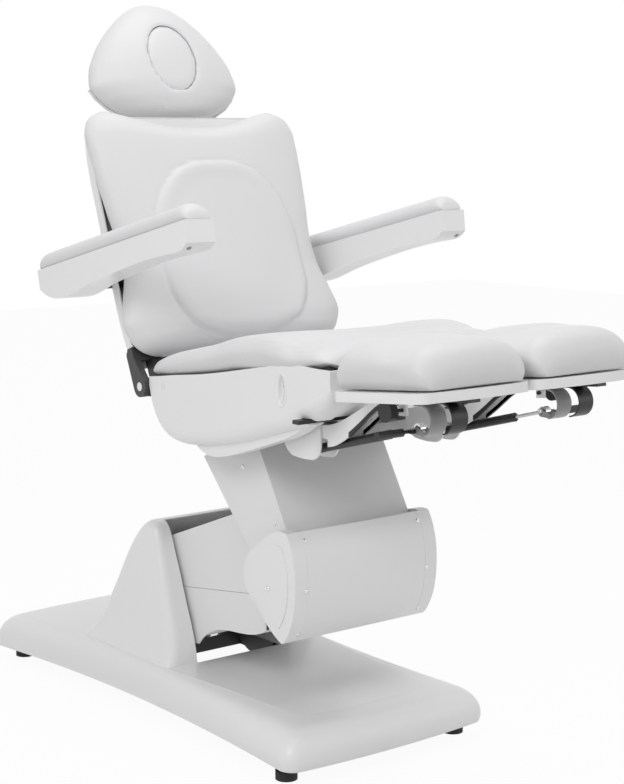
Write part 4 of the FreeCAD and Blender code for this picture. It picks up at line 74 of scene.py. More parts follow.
CAMERA_PLACE = (-2.382, -3.160, 1.352)
CAMERA_DOWN, CAMERA_TURN = 8.38, -38.2
camera = bpy.data.cameras.new("photo_camera")
camera.lens = 79.6
camera.sensor_width = 36
camera.clip_end = 50
camera_object = place_in_scene(bpy.data.objects.new("photo_camera", camera))
camera_object.location = CAMERA_PLACE
camera_object.rotation_euler = (math.radians(90 - CAMERA_DOWN), 0, math.radians(CAMERA_TURN))
scene.camera = camera_object


# Materials

def add_node(tree, kind, values=None, **settings):
    """A new shader node with its settings, then with values on its inputs."""
    node = tree.nodes.new("ShaderNode" + kind)
    for label, value in settings.items():
        setattr(node, label, value)
    for label, value in (values or {}).items():
        node.inputs[label].default_value = value
    return node


def link(tree, source, target):
    tree.links.new(source, target)


def new_group(name, inputs, outputs):
    group = bpy.data.node_groups.new(name, "ShaderNodeTree")
    for label, value in inputs.items():
        socket = group.interface.new_socket(label, in_out="INPUT", socket_type="NodeSocketFloat")
        socket.default_value = value
    for label in outputs:
        group.interface.new_socket(label, in_out="OUTPUT", socket_type="NodeSocketFloat")
    return group, group.nodes.new("NodeGroupInput"), group.nodes.new("NodeGroupOutput")


def scaled_textures(group, given, textures):
    """Textures laid on object coordinates, each with its scale from a group input."""
    place = add_node(group, "TexCoord")
    for texture, label in textures:
        link(group, place.outputs["Object"], texture.inputs["Vector"])
        link(group, given.outputs[label], texture.inputs["Scale"])


def hide_grain_group():
    """Pebbled vinyl: rounded cells under soft folds, and a slow drift of tone."""
    group, given, put = new_group("hide_grain", {"Cells": 900.0, "Fold": 9.0}, ["Height", "Tone"])
    cells = add_node(group, "TexVoronoi", feature="SMOOTH_F1")
    folds = add_node(group, "TexNoise", {"Detail": 3.0})
    scaled_textures(group, given, ((cells, "Cells"), (folds, "Fold")))
    height = add_node(group, "Math", {1: 0.25}, operation="MULTIPLY_ADD")
    link(group, cells.outputs["Distance"], height.inputs[0])
    link(group, folds.outputs["Fac"], height.inputs[2])
    tone = add_node(group, "MapRange", {"To Min": 0.97, "To Max": 1.02})
    link(group, folds.outputs["Fac"], tone.inputs["Value"])
    link(group, height.outputs[0], put.inputs["Height"])
    link(group, tone.outputs["Result"], put.inputs["Tone"])
    return group


def moulded_skin_group():
    """Moulded or painted skin: fine speckle, and a faint drift of gloss and tone."""
    group, given, put = new_group("moulded_skin", {"Speckle": 1400.0, "Marks": 14.0, "Rough": 0.3},
                                  ["Height", "Roughness", "Tone"])
    speckle = add_node(group, "TexNoise")
    marks = add_node(group, "TexNoise", {"Detail": 6.0})
    scaled_textures(group, given, ((speckle, "Speckle"), (marks, "Marks")))
    spread = add_node(group, "MapRange", {"From Min": 0.3, "From Max": 0.7, "To Min": -0.02,
                                          "To Max": 0.03})
    link(group, marks.outputs["Fac"], spread.inputs["Value"])
    rough = add_node(group, "Math", operation="ADD")
    link(group, spread.outputs["Result"], rough.inputs[0])
    link(group, given.outputs["Rough"], rough.inputs[1])
    tone = add_node(group, "MapRange", {"To Min": 0.99, "To Max": 1.01})
    link(group, marks.outputs["Fac"], tone.inputs["Value"])
    link(group, speckle.outputs["Fac"], put.inputs["Height"])
    link(group, rough.outputs[0], put.inputs["Roughness"])
    link(group, tone.outputs["Result"], put.inputs["Tone"])
    return group


HIDE_GRAIN = hide_grain_group()
MOULDED_SKIN = moulded_skin_group()


def finish_material(name, colour, group, settings, bump, distance, shader_values):
    """A Principled material whose tone, roughness and relief come from a shared group."""
    material = bpy.data.materials.new(name)
    material.use_nodes = True
    tree = material.node_tree
    shader = tree.nodes["Principled BSDF"]
    for label, value in shader_values.items():
        shader.inputs[label].default_value = value
    effect = add_node(tree, "Group", node_tree=group)
    for label, value in settings.items():
        effect.inputs[label].default_value = value
    tint = add_node(tree, "Mix", {"Factor": 1.0, "A": (*colour, 1)}, data_type="RGBA",
                    blend_type="MULTIPLY")
    link(tree, effect.outputs["Tone"], tint.inputs["B"])
    link(tree, tint.outputs["Result"], shader.inputs["Base Color"])
    if "Roughness" in effect.outputs:
        link(tree, effect.outputs["Roughness"], shader.inputs["Roughness"])
    relief = add_node(tree, "Bump", {"Strength": bump, "Distance": distance})
    link(tree, effect.outputs["Height"], relief.inputs["Height"])
    link(tree, relief.outputs["Normal"], shader.inputs["Normal"])
    material.diffuse_color = (*colour, 1)
    return material


def moulded(name, level, rough, speckle=1400.0, marks=14.0, bump=0.05, **values):
    """A grey of one level, with the moulded skin's relief."""
    return finish_material(name, (level, level, level), MOULDED_SKIN,
                           {"Speckle": speckle, "Marks": marks, "Rough": rough}, bump, 0.0004, values)


VINYL = finish_material("pale_vinyl", (0.735, 0.735, 0.742), HIDE_GRAIN, {"Cells": 700.0, "Fold": 7.0},
                        0.22, 0.0006, {"Roughness": 0.46, "Sheen Weight": 0.06})
PIPING = finish_material("vinyl_piping", (0.76, 0.76, 0.765), HIDE_GRAIN, {"Cells": 1200.0, "Fold": 30.0},
                         0.2, 0.0003, {"Roughness": 0.5})
WHITE = moulded("white_shell", 0.87, 0.30, marks=3.0, bump=0.015)
SOFT_WHITE = moulded("white_steel_cover", 0.83, 0.38, speckle=2200.0, marks=3.0, bump=0.03)
BLACK_PLASTIC = moulded("black_knob_plastic", 0.018, 0.42, speckle=900.0, bump=0.15)
BLACK_METAL = moulded("black_enamel", 0.014, 0.34, speckle=1800.0, bump=0.1)
CHROME = moulded("bright_chrome", 0.72, 0.14, marks=40.0, bump=0.02, Metallic=1.0)
# Mid grey, partly painted reflection: on the leg straps this flat grey stands in for light reflected off
# their metal fronts. The armrest screws share it.
GREY_PAINT_AND_REFLECTION = moulded("grey_strap_painted_reflection", 0.33, 0.4, speckle=2600.0, bump=0.12)
DARK_FRAME = moulded("dark_frame_paint", 0.05, 0.5, speckle=1600.0, bump=0.12)
RUBBER = moulded("foot_rubber", 0.012, 0.7, speckle=500.0, bump=0.2)


def dress(names, material):
    for name in names:
        data = nodes[name].data
        data.materials.clear()
        data.materials.append(material)


def by_hand(*names):
    return ["%s_%s" % (name, hand) for name in names for hand, _ in HANDS]


dress(["base_front_cover", "base_rear_cover", "knuckle_front_cover", "knuckle_side_caps", "seat_pan",
       "seat_under_covers", "back_shell", "headrest_shell"]
      + by_hand("armrest_shell", "leg_bracket", "leg_tray", "leg_arm"), WHITE)
dress(["lower_arm_top_cover", "lower_arm_skirt", "upper_arm_cover"], SOFT_WHITE)
dress(["base_frame", "lower_arm_frame", "lower_link", "knuckle_frame", "upper_arm_frame", "upper_link",
       "seat_carrier", "seat_frame", "back_frame"], DARK_FRAME)
dress(["control_box", "mains_inlet", "back_actuator", "lift_actuator", "swing_lock_lever"]
      + by_hand("leg_clamp_knob", "leg_release_grip"), BLACK_PLASTIC)
dress(["tower_shafts", "knuckle_shafts", "back_hinge_shaft", "headrest_bars", "lift_actuator_rod",
       "back_actuator_rod"] + by_hand("leg_spring_rod"), CHROME)
dress(by_hand("leg_gas_spring", "leg_rail"), BLACK_METAL)
# The straps' grey is painted reflection of light off their metal fronts.
dress(by_hand("leg_strap"), GREY_PAINT_AND_REFLECTION)
dress(["levelling_feet"], RUBBER)


# Meshes

WELD_DISTANCE = 0.00005


def add_piece(name, data, body, material):
    piece = place_in_scene(bpy.data.objects.new(name, data))
    piece.data.materials.append(material)
    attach(piece, body)
    return piece


def mesh_from(name, points, faces, smooth=True):
    data = bpy.data.meshes.new(name)
    data.from_pydata([tuple(point) for point in points], [], faces)
    build = bmesh.new()
    build.from_mesh(data)
    bmesh.ops.remove_doubles(build, verts=build.verts, dist=WELD_DISTANCE)
    bmesh.ops.recalc_face_normals(build, faces=build.faces)
    build.to_mesh(data)
    build.free()
    data.polygons.foreach_set("use_smooth", [smooth] * len(data.polygons))
    return data


def tube_faces(rings, sides, first=0, start_cap=True):
    """Faces of a tube of equal rings, closed at its end and, unless left open, at its start."""
    faces = []
    for ring in range(rings - 1):
        a, b = first + ring * sides, first + (ring + 1) * sides
        faces += [(a + k, a + (k + 1) % sides, b + (k + 1) % sides, b + k) for k in range(sides)]
    if start_cap:
        faces.append(tuple(range(first, first + sides)))
    last = first + (rings - 1) * sides
    faces.append(tuple(range(last, last + sides)))
    return faces


def eased(table, at):
    """Every column of the table at a place along it, with smooth slopes through its rows."""
    table = np.array(table, dtype=float)
    keys, values = table[:, 0], table[:, 1:]
    slopes = np.zeros_like(values)
    steps = np.diff(values, axis=0) / np.diff(keys)[:, None]
    slopes[1:-1] = np.where(steps[1:] * steps[:-1] > 0,
                            2 * steps[1:] * steps[:-1] / (steps[1:] + steps[:-1] + 1e-12), 0)
    slopes[0], slopes[-1] = steps[0], steps[-1]
    index = int(np.clip(np.searchsorted(keys, at) - 1, 0, len(keys) - 2))
    width = keys[index + 1] - keys[index]
    t = float(np.clip((at - keys[index]) / width, 0, 1))
    return ((2 * t**3 - 3 * t**2 + 1) * values[index] + (t**3 - 2 * t**2 + t) * width * slopes[index]
            + (3 * t**2 - 2 * t**3) * values[index + 1] + (t**3 - t**2) * width * slopes[index + 1])


def outline_distance(points, outline):
    """How far each plan point is from a closed outline, below zero inside it."""
    start = outline
    end = np.roll(outline, -1, axis=0)
    way = end - start
    offset = points[:, None, :] - start[None, :, :]
    share = np.clip((offset * way).sum(2) / (way * way).sum(1), 0, 1)
    gap = np.linalg.norm(offset - share[..., None] * way[None], axis=2).min(1)
    crossing = ((start[None, :, 1] > points[:, None, 1]) != (end[None, :, 1] > points[:, None, 1]))
    slope = way[:, 0] / np.where(np.abs(way[:, 1]) < 1e-9, 1e-9, way[:, 1])
    hit = points[:, None, 0] < start[None, :, 0] + slope * (points[:, None, 1] - start[None, :, 1])
    inside = (crossing & hit).sum(1) % 2 == 1
    return np.where(inside, -gap, gap)


def oval_outline(half, start, length, count=96):
    turn = np.linspace(0, 2 * math.pi, count, endpoint=False)
    return np.stack([half * np.cos(turn), start + length / 2 + length / 2 * np.sin(turn)], 1)


def crowded_ends(count):
    """Shares from 0 to 1 that lie closer together near both ends."""
    return 0.5 - 0.5 * np.cos(np.linspace(0, math.pi, count))


END_POWER = 2.2
CROWDED, EVEN = 0.65, 0.35


def pad_mesh(name, table, length, place, tuck, rows, columns, square=4.5, rounds=(40, 40), narrow=0.12,
             relief=None, shift=None):
    """A padded form lying on its base: the table gives share along, half width, side and crown.

    Its foot is drawn in by tuck, its ends are rounded over the rounds and narrowed a little, square
    sets how boxy its section is, relief lifts its face and shift moves its points along.
    """
    turn = np.linspace(0, math.pi, columns)
    alongs = (CROWDED * crowded_ends(rows) + EVEN * np.linspace(0, 1, rows)) * length
    points = []
    for along in alongs:
        half, side, crown = eased(table, along / length)
        end = 1.0
        for gap, reach in ((along, rounds[0]), (length - along, rounds[1])):
            if gap < reach:
                end *= (1 - (1 - max(gap, 0.02) / reach) ** END_POWER) ** (1 / END_POWER)
        half = half * (1 - narrow * (1 - end))
        x = half * np.sign(np.cos(turn)) * np.abs(np.cos(turn)) ** (2 / square)
        rise = np.abs(np.sin(turn)) ** (2 / square)
        up = (side + (crown - side) * (1 - (x / half) ** 2)) * rise * end
        x = x * (1 - tuck / half * np.clip(1 - up / (0.5 * side), 0, 1) ** 2)
        points.append(np.stack([x, np.full_like(x, along), up, rise * end], 1))
    grid = np.concatenate(points)
    if relief is not None:
        grid[:, 2] += relief(grid[:, 0], grid[:, 1]) * np.clip(grid[:, 3] * 2 - 1, 0, 1)
    if shift is not None:
        grid[:, 1] += shift(grid[:, 0], grid[:, 1])
    faces = []
    for row in range(rows - 1):
        for column in range(columns - 1):
            a = row * columns + column
            faces.append((a, a + 1, a + columns + 1, a + columns))
        faces.append((row * columns + columns - 1, row * columns, (row + 1) * columns,
                      (row + 1) * columns + columns - 1))
    faces.append(tuple(range(columns)))
    faces.append(tuple(reversed(range((rows - 1) * columns, rows * columns))))
    return mesh_from(name, [place(x, along, max(up, 0)) for x, along, up, _ in grid], faces)


def groove(distance, depth, width):
    return -depth * np.exp(-(distance / width) ** 2)


def apply_modifiers(piece):
    """The piece keeps the mesh that its modifiers give."""
    bpy.context.view_layer.update()
    shaped = bpy.data.meshes.new_from_object(piece.evaluated_get(bpy.context.evaluated_depsgraph_get()))
    piece.modifiers.clear()
    piece.data = shaped


CLOTH_VOXEL = 0.006
CLOTH_FRAMES = 14
NEAR_COUNT = 6
NEAR_SOFTENING = 0.002


def point_array(data):
    return np.array([vertex.co for vertex in data.vertices])


def fill_out(piece, pressure, most):
    """Cloth blown up a little from the drawn form, so that it looks stuffed; no point moves far."""
    cloth = place_in_scene(bpy.data.objects.new(piece.name + "_stuffing", piece.data.copy()))
    remesh = cloth.modifiers.new("remesh", "REMESH")
    remesh.mode = "VOXEL"
    remesh.voxel_size = CLOTH_VOXEL
    apply_modifiers(cloth)
    start = point_array(cloth.data)
    modifier = cloth.modifiers.new("cloth", "CLOTH")
    modifier.settings.use_pressure = True
    modifier.settings.uniform_pressure_force = pressure
    modifier.settings.effector_weights.gravity = 0
    modifier.settings.quality = 4
    for number in range(1, CLOTH_FRAMES + 1):
        scene.frame_set(number)
    apply_modifiers(cloth)
    scene.frame_set(1)
    moved = point_array(cloth.data) - start
    far = np.linalg.norm(moved, axis=1)
    moved *= np.minimum(1, most / np.maximum(far, 1e-9))[:, None]
    near = KDTree(len(start))
    for index, point in enumerate(start):
        near.insert(Vector(point), index)
    near.balance()
    for vertex in piece.data.vertices:
        found = near.find_n(vertex.co, NEAR_COUNT)
        total = sum(1 / (distance + NEAR_SOFTENING) for _, _, distance in found)
        push = Vector((0, 0, 0))
        for _, index, distance in found:
            push += Vector(moved[index]) / (distance + NEAR_SOFTENING)
        vertex.co += push / total
    bpy.data.objects.remove(cloth)


# Cushions. Each table's rows are share along, half width, height at the sides and height of the crown.

def soft(name, data, body, replaced):
    piece = add_piece(name, data, body, VINYL)
    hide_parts(replaced)
    return piece


SEAT_LENGTH = 662
SEAT_START, SEAT_BASE = 14, 12.4
SEAT_TABLE = [(0.0, 262, 34, 34), (0.04, 272, 46, 44), (0.16, 284, 62, 52), (0.37, 287, 74, 55),
              (0.55, 289, 88, 63), (0.69, 289, 83, 66), (0.765, 287, 68, 60), (0.825, 284, 50, 50),
              (0.945, 279, 36, 42), (1.0, 272, 30, 36)]
# The seat's foot sags over the pan's falling edge from SAG_START on, by SAG_DEPTH after SAG_REACH
SAG_START, SAG_REACH, SAG_DEPTH, SAG_TOP = 330, 170, 13, 45


def seat_place(x, along, up):
    forward = np.clip((along - SAG_START) / SAG_REACH, 0, 1)
    sag = SAG_DEPTH * forward * forward * (3 - 2 * forward) * max(0, 1 - up / SAG_TOP)
    return spot(SEAT, x, -SEAT_START - along, SEAT_BASE + up - sag)


seat_cushion = soft("seat_upholstery",
                    pad_mesh("seat_upholstery", SEAT_TABLE, SEAT_LENGTH, seat_place, 44, 96, 84,
                             rounds=(46, 50), narrow=0.06),
                    "seat", "seat_cushion")

BACK_LENGTH = 607
BACK_START, BACK_BASE = 60, -6.1
BACK_TABLE = [(0.0, 266, 44, 56), (0.022, 284, 54, 68), (0.067, 299, 64, 78), (0.125, 312, 68, 85),
              (0.215, 300, 69, 88), (0.335, 281, 68, 87), (0.42, 279, 67, 86), (0.57, 290, 66, 84),
              (0.74, 300, 64, 81), (0.87, 303, 62, 77), (0.93, 292, 58, 71), (0.97, 270, 52, 60),
              (1.0, 228, 46, 50)]
DIP_DEPTH, DIP_HALF, DIP_START = 56, 240, 400
# Egg-shaped panel on the backrest: share up it and share of its half width
PANEL_HALF, PANEL_START, PANEL_LENGTH = 200, 16, 446
PANEL_TABLE = [(0.0, 0.0), (0.03, 0.48), (0.11, 0.80), (0.30, 0.985), (0.52, 1.0), (0.74, 0.90),
               (0.90, 0.64), (0.975, 0.34), (1.0, 0.0)]
panel_edge = [(PANEL_HALF * float(eased(PANEL_TABLE, up)[0]), PANEL_START + up * PANEL_LENGTH)
              for up in crowded_ends(60)]
PANEL = np.array(panel_edge + [(-x, up) for x, up in panel_edge[-2:0:-1]])
PANEL_RISE, PANEL_SLOPE = 4.5, 2.5
SHOULDER_RISE, SHOULDER_IN, SHOULDER_WIDTH = 2.5, 22, 20
PANEL_SEAM = (4.5, 3.6)


def back_place(x, along, up):
    return spot(BACK, x, BACK_BASE - up, BACK_START + along)


def panel_relief(x, along):
    """The panel stands out behind a sewn seam, and swells a little just inside it."""
    gap = outline_distance(np.stack([x, along], 1), PANEL)
    raised = PANEL_RISE / (1 + np.exp(np.clip(gap / PANEL_SLOPE, -30, 30)))
    shoulder = SHOULDER_RISE * np.exp(-((gap + SHOULDER_IN) / SHOULDER_WIDTH) ** 2) * (gap < 0)
    return raised + shoulder + groove(gap, *PANEL_SEAM)


def top_dip(x, along):
    dip = DIP_DEPTH * np.clip(1 - (x / DIP_HALF) ** 2, 0, 1) ** 1.1
    return -dip * np.clip((along - DIP_START) / (BACK_LENGTH - DIP_START), 0, 1) ** 1.6


back_cushion = soft("back_upholstery",
                    pad_mesh("back_upholstery", BACK_TABLE, BACK_LENGTH, back_place, 20, 150, 150,
                             rounds=(44, 46), narrow=0.14, relief=panel_relief, shift=top_dip),
                    "back", "back_cushion")

HEAD_LENGTH, HEAD_HALF = 322, 216
HEAD_START, HEAD_BASE = 646, 63.6
HEAD_TABLE = [(0.0, 47, 27, 36), (0.045, 99, 49, 61), (0.11, 155, 59, 76), (0.20, 195, 67, 86),
              (0.31, HEAD_HALF, 69, 90), (0.43, 209, 69, 90), (0.56, 188, 67, 88), (0.69, 157, 63, 82),
              (0.81, 118, 56, 73), (0.91, 76, 45, 59), (1.0, 30, 27, 37)]
PLUG_HALF, PLUG_START, PLUG_LENGTH = 66, 68, 171
PLUG = oval_outline(PLUG_HALF, PLUG_START, PLUG_LENGTH)
PLUG_SEAM = (4.0, 4.0)
PLUG_STANDS_OUT = 1.5


def head_place(x, along, up):
    return spot(BACK, x, HEAD_BASE - up, HEAD_START + along)


def plug_relief(x, along):
    return groove(outline_distance(np.stack([x, along], 1), PLUG), *PLUG_SEAM)


def head_mesh(name, extra=0.0):
    table = [(share, half, side + extra, crown + extra) for share, half, side, crown in HEAD_TABLE]
    return pad_mesh(name, table, HEAD_LENGTH, head_place, 20, 100, 100, square=3.2, rounds=(36, 40),
                    narrow=0.5, relief=plug_relief)


def plug_cutter(grow, rear, front=-200):
    """An upright oval prism through the headrest, as big as the plug and a little more."""
    rim = oval_outline(PLUG_HALF + grow, HEAD_START + PLUG_START - grow, PLUG_LENGTH + 2 * grow)
    count = len(rim)
    points = [spot(BACK, x, y, up) for y in (front, rear) for x, up in rim]
    faces = [(i, (i + 1) % count, count + (i + 1) % count, count + i) for i in range(count)]
    faces += [tuple(reversed(range(count))), tuple(range(count, 2 * count))]
    name = "plug_cutter"
    return place_in_scene(bpy.data.objects.new(name, mesh_from(name, points, faces, False)))


def cut_with(piece, cutter, operation):
    modifier = piece.modifiers.new("cut", "BOOLEAN")
    modifier.operation = operation
    modifier.object = cutter
    modifier.solver = "EXACT"
    apply_modifiers(piece)
    bpy.data.objects.remove(cutter)


headrest = soft("headrest_upholstery", head_mesh("headrest_upholstery"), "headrest", "headrest_cushion")
plug = soft("breathing_plug_pad", head_mesh("breathing_plug_pad", PLUG_STANDS_OUT), "breathing_plug",
            "breathing_plug")

LEG_LENGTH, LEG_CENTRE, LEG_HALF = 268, 150, 145
LEG_TABLE = [(0.0, 137, 56, 60), (0.043, 141, 72, 78), (0.21, 144, 85, 92), (0.42, LEG_HALF, 86, 96),
             (0.63, LEG_HALF, 78, 91), (0.84, 143, 75, 90), (0.955, 140, 70, 85), (1.0, 137, 64, 76)]
BOW_DEPTH, BOW_START = 12, 180
ARM_PAD_LENGTH, ARM_PAD_CENTRE = 627, 353
ARM_PAD_TABLE = [(0.0, 35, 27, 34), (0.03, 37, 27, 36.5), (0.5, 37, 27, 37), (0.97, 37, 27, 36.5),
                 (1.0, 35, 26, 33)]
PAD_GAP = 0.4


def side_place(place, centre):
    """Places points on one hand's pad, whose middle line is at centre, just off its tray or shell."""
    return lambda x, along, up: spot(place, centre + x, -along, PAD_GAP + up)


def leg_bow(x, along):
    """The leg pad's front edge bows out in the middle."""
    forward = np.clip((along - BOW_START) / (LEG_LENGTH - BOW_START), 0, 1)
    return BOW_DEPTH * (1 - (x / LEG_HALF) ** 2) * forward


leg_pads = []
for hand, way in HANDS:
    name = "leg_upholstery_" + hand
    leg_pads.append(soft(name, pad_mesh(name, LEG_TABLE, LEG_LENGTH, side_place(LEG, LEG_CENTRE * way), 12,
                                        64, 64, square=4.2, rounds=(40, 44), narrow=0.10, shift=leg_bow),
                         "leg_rest_" + hand, "leg_cushion_" + hand))
for hand, way in HANDS:
    name = "armrest_upholstery_" + hand
    soft(name, pad_mesh(name, ARM_PAD_TABLE, ARM_PAD_LENGTH, side_place(ARM, ARM_PAD_CENTRE * way), 3,
                        90, 34, square=3.4, rounds=(26, 30), narrow=0.22),
         "armrest_" + hand, "armrest_pad_" + hand)

for piece, pressure, most in [(seat_cushion, 3.0, 0.005), (back_cushion, 2.5, 0.004),
                              (headrest, 3.0, 0.005), (leg_pads[0], 3.0, 0.005),
                              (leg_pads[1], 3.0, 0.005)]:
    fill_out(piece, pressure, most)
cut_with(headrest, plug_cutter(1.0, 120), "DIFFERENCE")
cut_with(plug, plug_cutter(0, 31), "INTERSECT")


# Trim: seam cords, screws, caps and bands

CORD_RADIUS, CORD_SIDES = 3.2, 8
SCREW_SIDES = 24
SCREW_FOOT = -2.0
# Share of a screw's radius and share of its rise, from its rim over its dome into its well
SCREW_DOME = [(1.0, 0.45), (0.86, 0.85), (0.55, 1.0), (0.42, 1.0), (0.36, 0.4), (0.05, 0.4)]


def ring_around(place, across, other, radius, sides):
    return [place + (across * math.cos(2 * math.pi * k / sides)
                     + other * math.sin(2 * math.pi * k / sides)) * radius for k in range(sides)]


def cord_mesh(name, points, radius):
    """A thin tube along points, closed at both ends; points and radius in metres."""
    rings = []
    for index, point in enumerate(points):
        before = points[max(index - 1, 0)]
        after = points[min(index + 1, len(points) - 1)]
        way = (after - before).normalized()
        across = (rings[-CORD_SIDES] - before).normalized() if rings else way.orthogonal()
        across = (across - way * across.dot(way)).normalized()
        rings += ring_around(point, across, way.cross(across), radius, CORD_SIDES)
    return mesh_from(name, rings, tube_faces(len(points), CORD_SIDES))


def turned_mesh(name, profile, place, way):
    """A turned form: profile gives radius and rise in millimetres along way from place."""
    way = Vector(way).normalized()
    across = way.orthogonal().normalized()
    other = way.cross(across)
    points = []
    for radius, rise in profile:
        points += ring_around(place + way * rise * MM, across, other, radius * MM, SCREW_SIDES)
    return mesh_from(name, points, tube_faces(len(profile), SCREW_SIDES))


def domed_screw(place, way, radius, high):
    """A round head with a well in its middle, its foot just under the face."""
    profile = [(radius, SCREW_FOOT)] + [(radius * out, high * up) for out, up in SCREW_DOME]
    return turned_mesh("screw", profile, place, way)


def merged(name, meshes):
    build = bmesh.new()
    for data in meshes:
        build.from_mesh(data)
    whole = bpy.data.meshes.new(name)
    build.to_mesh(whole)
    build.free()
    whole.polygons.foreach_set("use_smooth", [True] * len(whole.polygons))
    return whole


def landed(node, start, way):
    """Where a ray from start, in millimetres, meets a node's face, with the face's normal."""
    target = nodes[node]
    turn = target.matrix_world.inverted()
    inside = turn.to_3x3()
    hit, place, normal, _ = target.ray_cast(turn @ (Vector(start) * MM),
                                            (inside @ Vector(way)).normalized())
    if not hit:
        return None
    return target.matrix_world @ place, (target.matrix_world.to_3x3() @ normal).normalized()


# Screw heads and caps for the left hand, the right hand's are mirrored: the piece's name, its body,
# slot and material, then for each head its node, a ray's start and way, its radius and its rise.
# A name that ends in an underscore takes the hand after it.
INWARD = (-1, 0, 0)
FASTENERS = [
    ("cover_screws_", "knuckle", "bright_steel", CHROME, [
        ("knuckle_side_caps", (260, -240, 386), INWARD, 5.5, 2.2),
        ("knuckle_side_caps", (172, -400, 394), (0, 1, 0), 5.0, 2.0),
        ("knuckle_side_caps", (172, -380, 240), (0, 0.83, 0.56), 5.0, 2.0),
        ("knuckle_front_cover", (161, -380, 530), (0, 0.91, -0.42), 5.0, 2.0)]),
    ("mast_screws_", "upper_arm", "bright_steel", CHROME, [
        ("upper_arm_cover", (230, -106, 630), INWARD, 5.0, 2.0),
        ("upper_arm_cover", (230, -223, 524), INWARD, 5.0, 2.0)]),
    ("armrest_screw_", "armrest_", "grey_metal", GREY_PAINT_AND_REFLECTION, [
        ("armrest_shell_", (374, -240, 1068), (0, 0.58, 0.82), 5.5, 2.0)]),
    ("pan_cap_", "seat", "white_moulding", SOFT_WHITE, [
        ("seat_pan", (320, 63, 800), INWARD, 7.5, 2.4)]),
    ("strap_bolt_", "leg_arm_", "bright_steel", CHROME, [
        ("leg_strap_", (120, -688, 795), (1, 0, 0), 5.5, 4.0)]),
]
# Oval finger cup in the pan's side: half width, half height and distance from the middle plane
CUP_Y, CUP_Z, CUP_SIDES = -374, 842, 32
GRIP_CUP = [(20, 37, 267.0), (20, 37, 271.0), (18.8, 35.8, 271.8), (16.5, 33.5, 271.4), (9.6, 28.6, 270.4),
            (9.0, 28.0, 268.0), (8.0, 26.0, 262.0), (4.0, 13.0, 259.0), (0.5, 1.0, 258.6)]
# Black bands on the lower edges of a leg arm's two walls
BAND_LINE_X, BAND_START, BAND_STEP, BAND_COUNT, BELOW_ARM = 153, -498, 5.4, 26, 600
BAND_WALLS = ((150.4, 155.0), (189.0, 193.6))
BAND_LOW, BAND_HIGH = -1.0, 9.0
# Seam cord on each side of the headrest: share along it and share of its half width
HEAD_CORD = ((0.04, 0.42), (0.09, 0.63), (0.15, 0.79), (0.22, 0.905), (0.29, 0.97))
CORD_OUT, CORD_Y, CORD_FORWARD = 2.5, 58, 14


def handed(name, hand):
    return name + hand if name.endswith("_") else name


def mirrored(values, way):
    return (values[0] * way, values[1], values[2])


def screws(name, body, slot, material, heads, hand, way):
    """Screw heads on the faces that their rays meet."""
    made = []
    for node, start, ray, radius, high in heads:
        found = landed(handed(node, hand), mirrored(start, way), mirrored(ray, way))
        if found:
            made.append(domed_screw(found[0], found[1], radius, high))
    if made:
        add_piece(name + hand, merged(name + hand, made), handed(body, hand), material)


def grip_cup(hand, way):
    points = [Vector((way * x, CUP_Y + wide * math.cos(k * math.pi / (CUP_SIDES / 2)),
                      CUP_Z + high * math.sin(k * math.pi / (CUP_SIDES / 2)))) * MM
              for wide, high, x in GRIP_CUP for k in range(CUP_SIDES)]
    faces = tube_faces(len(GRIP_CUP), CUP_SIDES, start_cap=False)
    name = "pan_grip_cup_" + hand
    add_piece(name, mesh_from(name, points, faces), "seat", WHITE)


def edge_bands(hand, way):
    """Bands along the line where rays from below meet the leg arm's lower edge."""
    rays = [landed("leg_arm_" + hand, (BAND_LINE_X * way, BAND_START - step * BAND_STEP, BELOW_ARM),
                   (0, 0, 1)) for step in range(BAND_COUNT)]
    line = [found[0] for found in rays if found]
    corners, faces = [], []
    for inner, outer in BAND_WALLS:
        ring = ((inner, BAND_LOW), (outer, BAND_LOW), (outer, BAND_HIGH), (inner, BAND_HIGH))
        faces += tube_faces(len(line), len(ring), first=len(corners))
        corners += [Vector((x * MM * way, place.y, place.z + rise * MM))
                    for place in line for x, rise in ring]
    name = "arm_edge_band_" + hand
    add_piece(name, mesh_from(name, corners, faces, False), "leg_arm_" + hand, BLACK_METAL)


def head_cord(hand, way):
    line = [spot(BACK, way * (HEAD_HALF * share + CORD_OUT), CORD_Y - CORD_FORWARD * share,
                 HEAD_START + HEAD_LENGTH * along) for along, share in HEAD_CORD]
    name = "headrest_cord_" + hand
    add_piece(name, cord_mesh(name, line, CORD_RADIUS * MM), "headrest", PIPING)


for hand, way in HANDS:
    for fastener in FASTENERS:
        screws(*fastener, hand, way)
    grip_cup(hand, way)
    edge_bands(hand, way)
    head_cord(hand, way)


# Floor, backdrop and light

FLOOR_HALF = 9
FLOOR_SHOWN_WHITE = 0.95
AIR_LIGHT = 0.50


def camera_or_glossy(tree):
    """1 for rays from the camera or off a glossy face, 0 for those that light the chair."""
    path = add_node(tree, "LightPath")
    either = add_node(tree, "Math", operation="ADD", use_clamp=True)
    link(tree, path.outputs["Is Camera Ray"], either.inputs[0])
    link(tree, path.outputs["Is Glossy Ray"], either.inputs[1])
    return either.outputs[0]


def mix_to(tree, share, first, second, surface):
    blend = add_node(tree, "MixShader")
    link(tree, share, blend.inputs["Fac"])
    link(tree, first, blend.inputs[1])
    link(tree, second, blend.inputs[2])
    link(tree, blend.outputs["Shader"], surface)


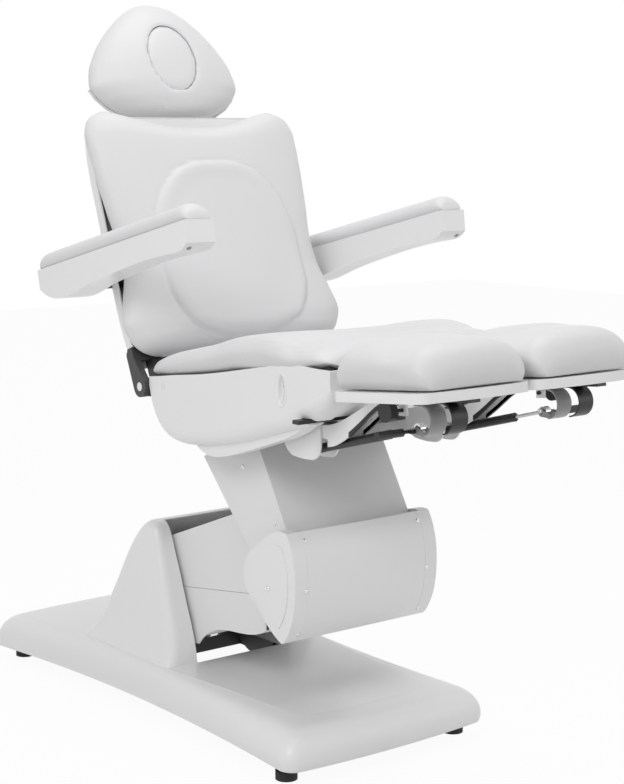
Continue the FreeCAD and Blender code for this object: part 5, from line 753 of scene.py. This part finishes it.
def studio_material():
    """Pale floor that the camera sees as white outside the chair's soft shadow."""
    material = bpy.data.materials.new("studio_floor")
    material.use_nodes = True
    tree = material.node_tree
    shader = tree.nodes["Principled BSDF"]
    shader.inputs["Roughness"].default_value = 0.8
    noise = add_node(tree, "TexNoise", {"Scale": 2.0})
    tone = add_node(tree, "MapRange", {"To Min": 0.86, "To Max": 0.88})
    link(tree, noise.outputs["Fac"], tone.inputs["Value"])
    link(tree, tone.outputs["Result"], shader.inputs["Base Color"])
    glow = add_node(tree, "Emission", {"Strength": 1.0})
    share = add_node(tree, "Math", {1: FLOOR_SHOWN_WHITE}, operation="MULTIPLY")
    link(tree, camera_or_glossy(tree), share.inputs[0])
    mix_to(tree, share.outputs[0], shader.outputs["BSDF"], glow.outputs["Emission"],
           tree.nodes["Material Output"].inputs["Surface"])
    return material


floor_data = bpy.data.meshes.new("studio_floor")
floor_data.from_pydata([(-FLOOR_HALF, -FLOOR_HALF, 0), (FLOOR_HALF, -FLOOR_HALF, 0),
                        (FLOOR_HALF, FLOOR_HALF, 0), (-FLOOR_HALF, FLOOR_HALF, 0)], [], [(0, 1, 2, 3)])
floor_data.materials.append(studio_material())
floor = place_in_scene(bpy.data.objects.new("studio_floor", floor_data))

world = bpy.data.worlds.new("studio_air")
world.use_nodes = True
scene.world = world
air = world.node_tree
plain = air.nodes["Background"]
plain.inputs["Color"].default_value = (1, 1, 1, 1)
plain.inputs["Strength"].default_value = AIR_LIGHT
bright = add_node(air, "Background", {"Color": (1, 1, 1, 1), "Strength": 1.0})
mix_to(air, camera_or_glossy(air), plain.outputs["Background"], bright.outputs["Background"],
       air.nodes["World Output"].inputs["Surface"])


def lamp(name, place, target, size, power):
    light = bpy.data.lights.new(name, "AREA")
    light.size = size
    light.energy = power
    item = place_in_scene(bpy.data.objects.new(name, light))
    item.location = place
    item.rotation_euler = (Vector(target) - Vector(place)).to_track_quat("-Z", "Y").to_euler()


lamp("key_lamp", (-3.2, -1.6, 3.4), (0, 0, 0.8), 1.8, 52)
lamp("top_lamp", (0.4, -0.4, 4.2), (0, 0, 0.6), 2.4, 44)
lamp("fill_lamp", (2.6, -3.4, 1.6), (0, 0, 0.8), 2.0, 8)

scene.view_settings.view_transform = "Standard"
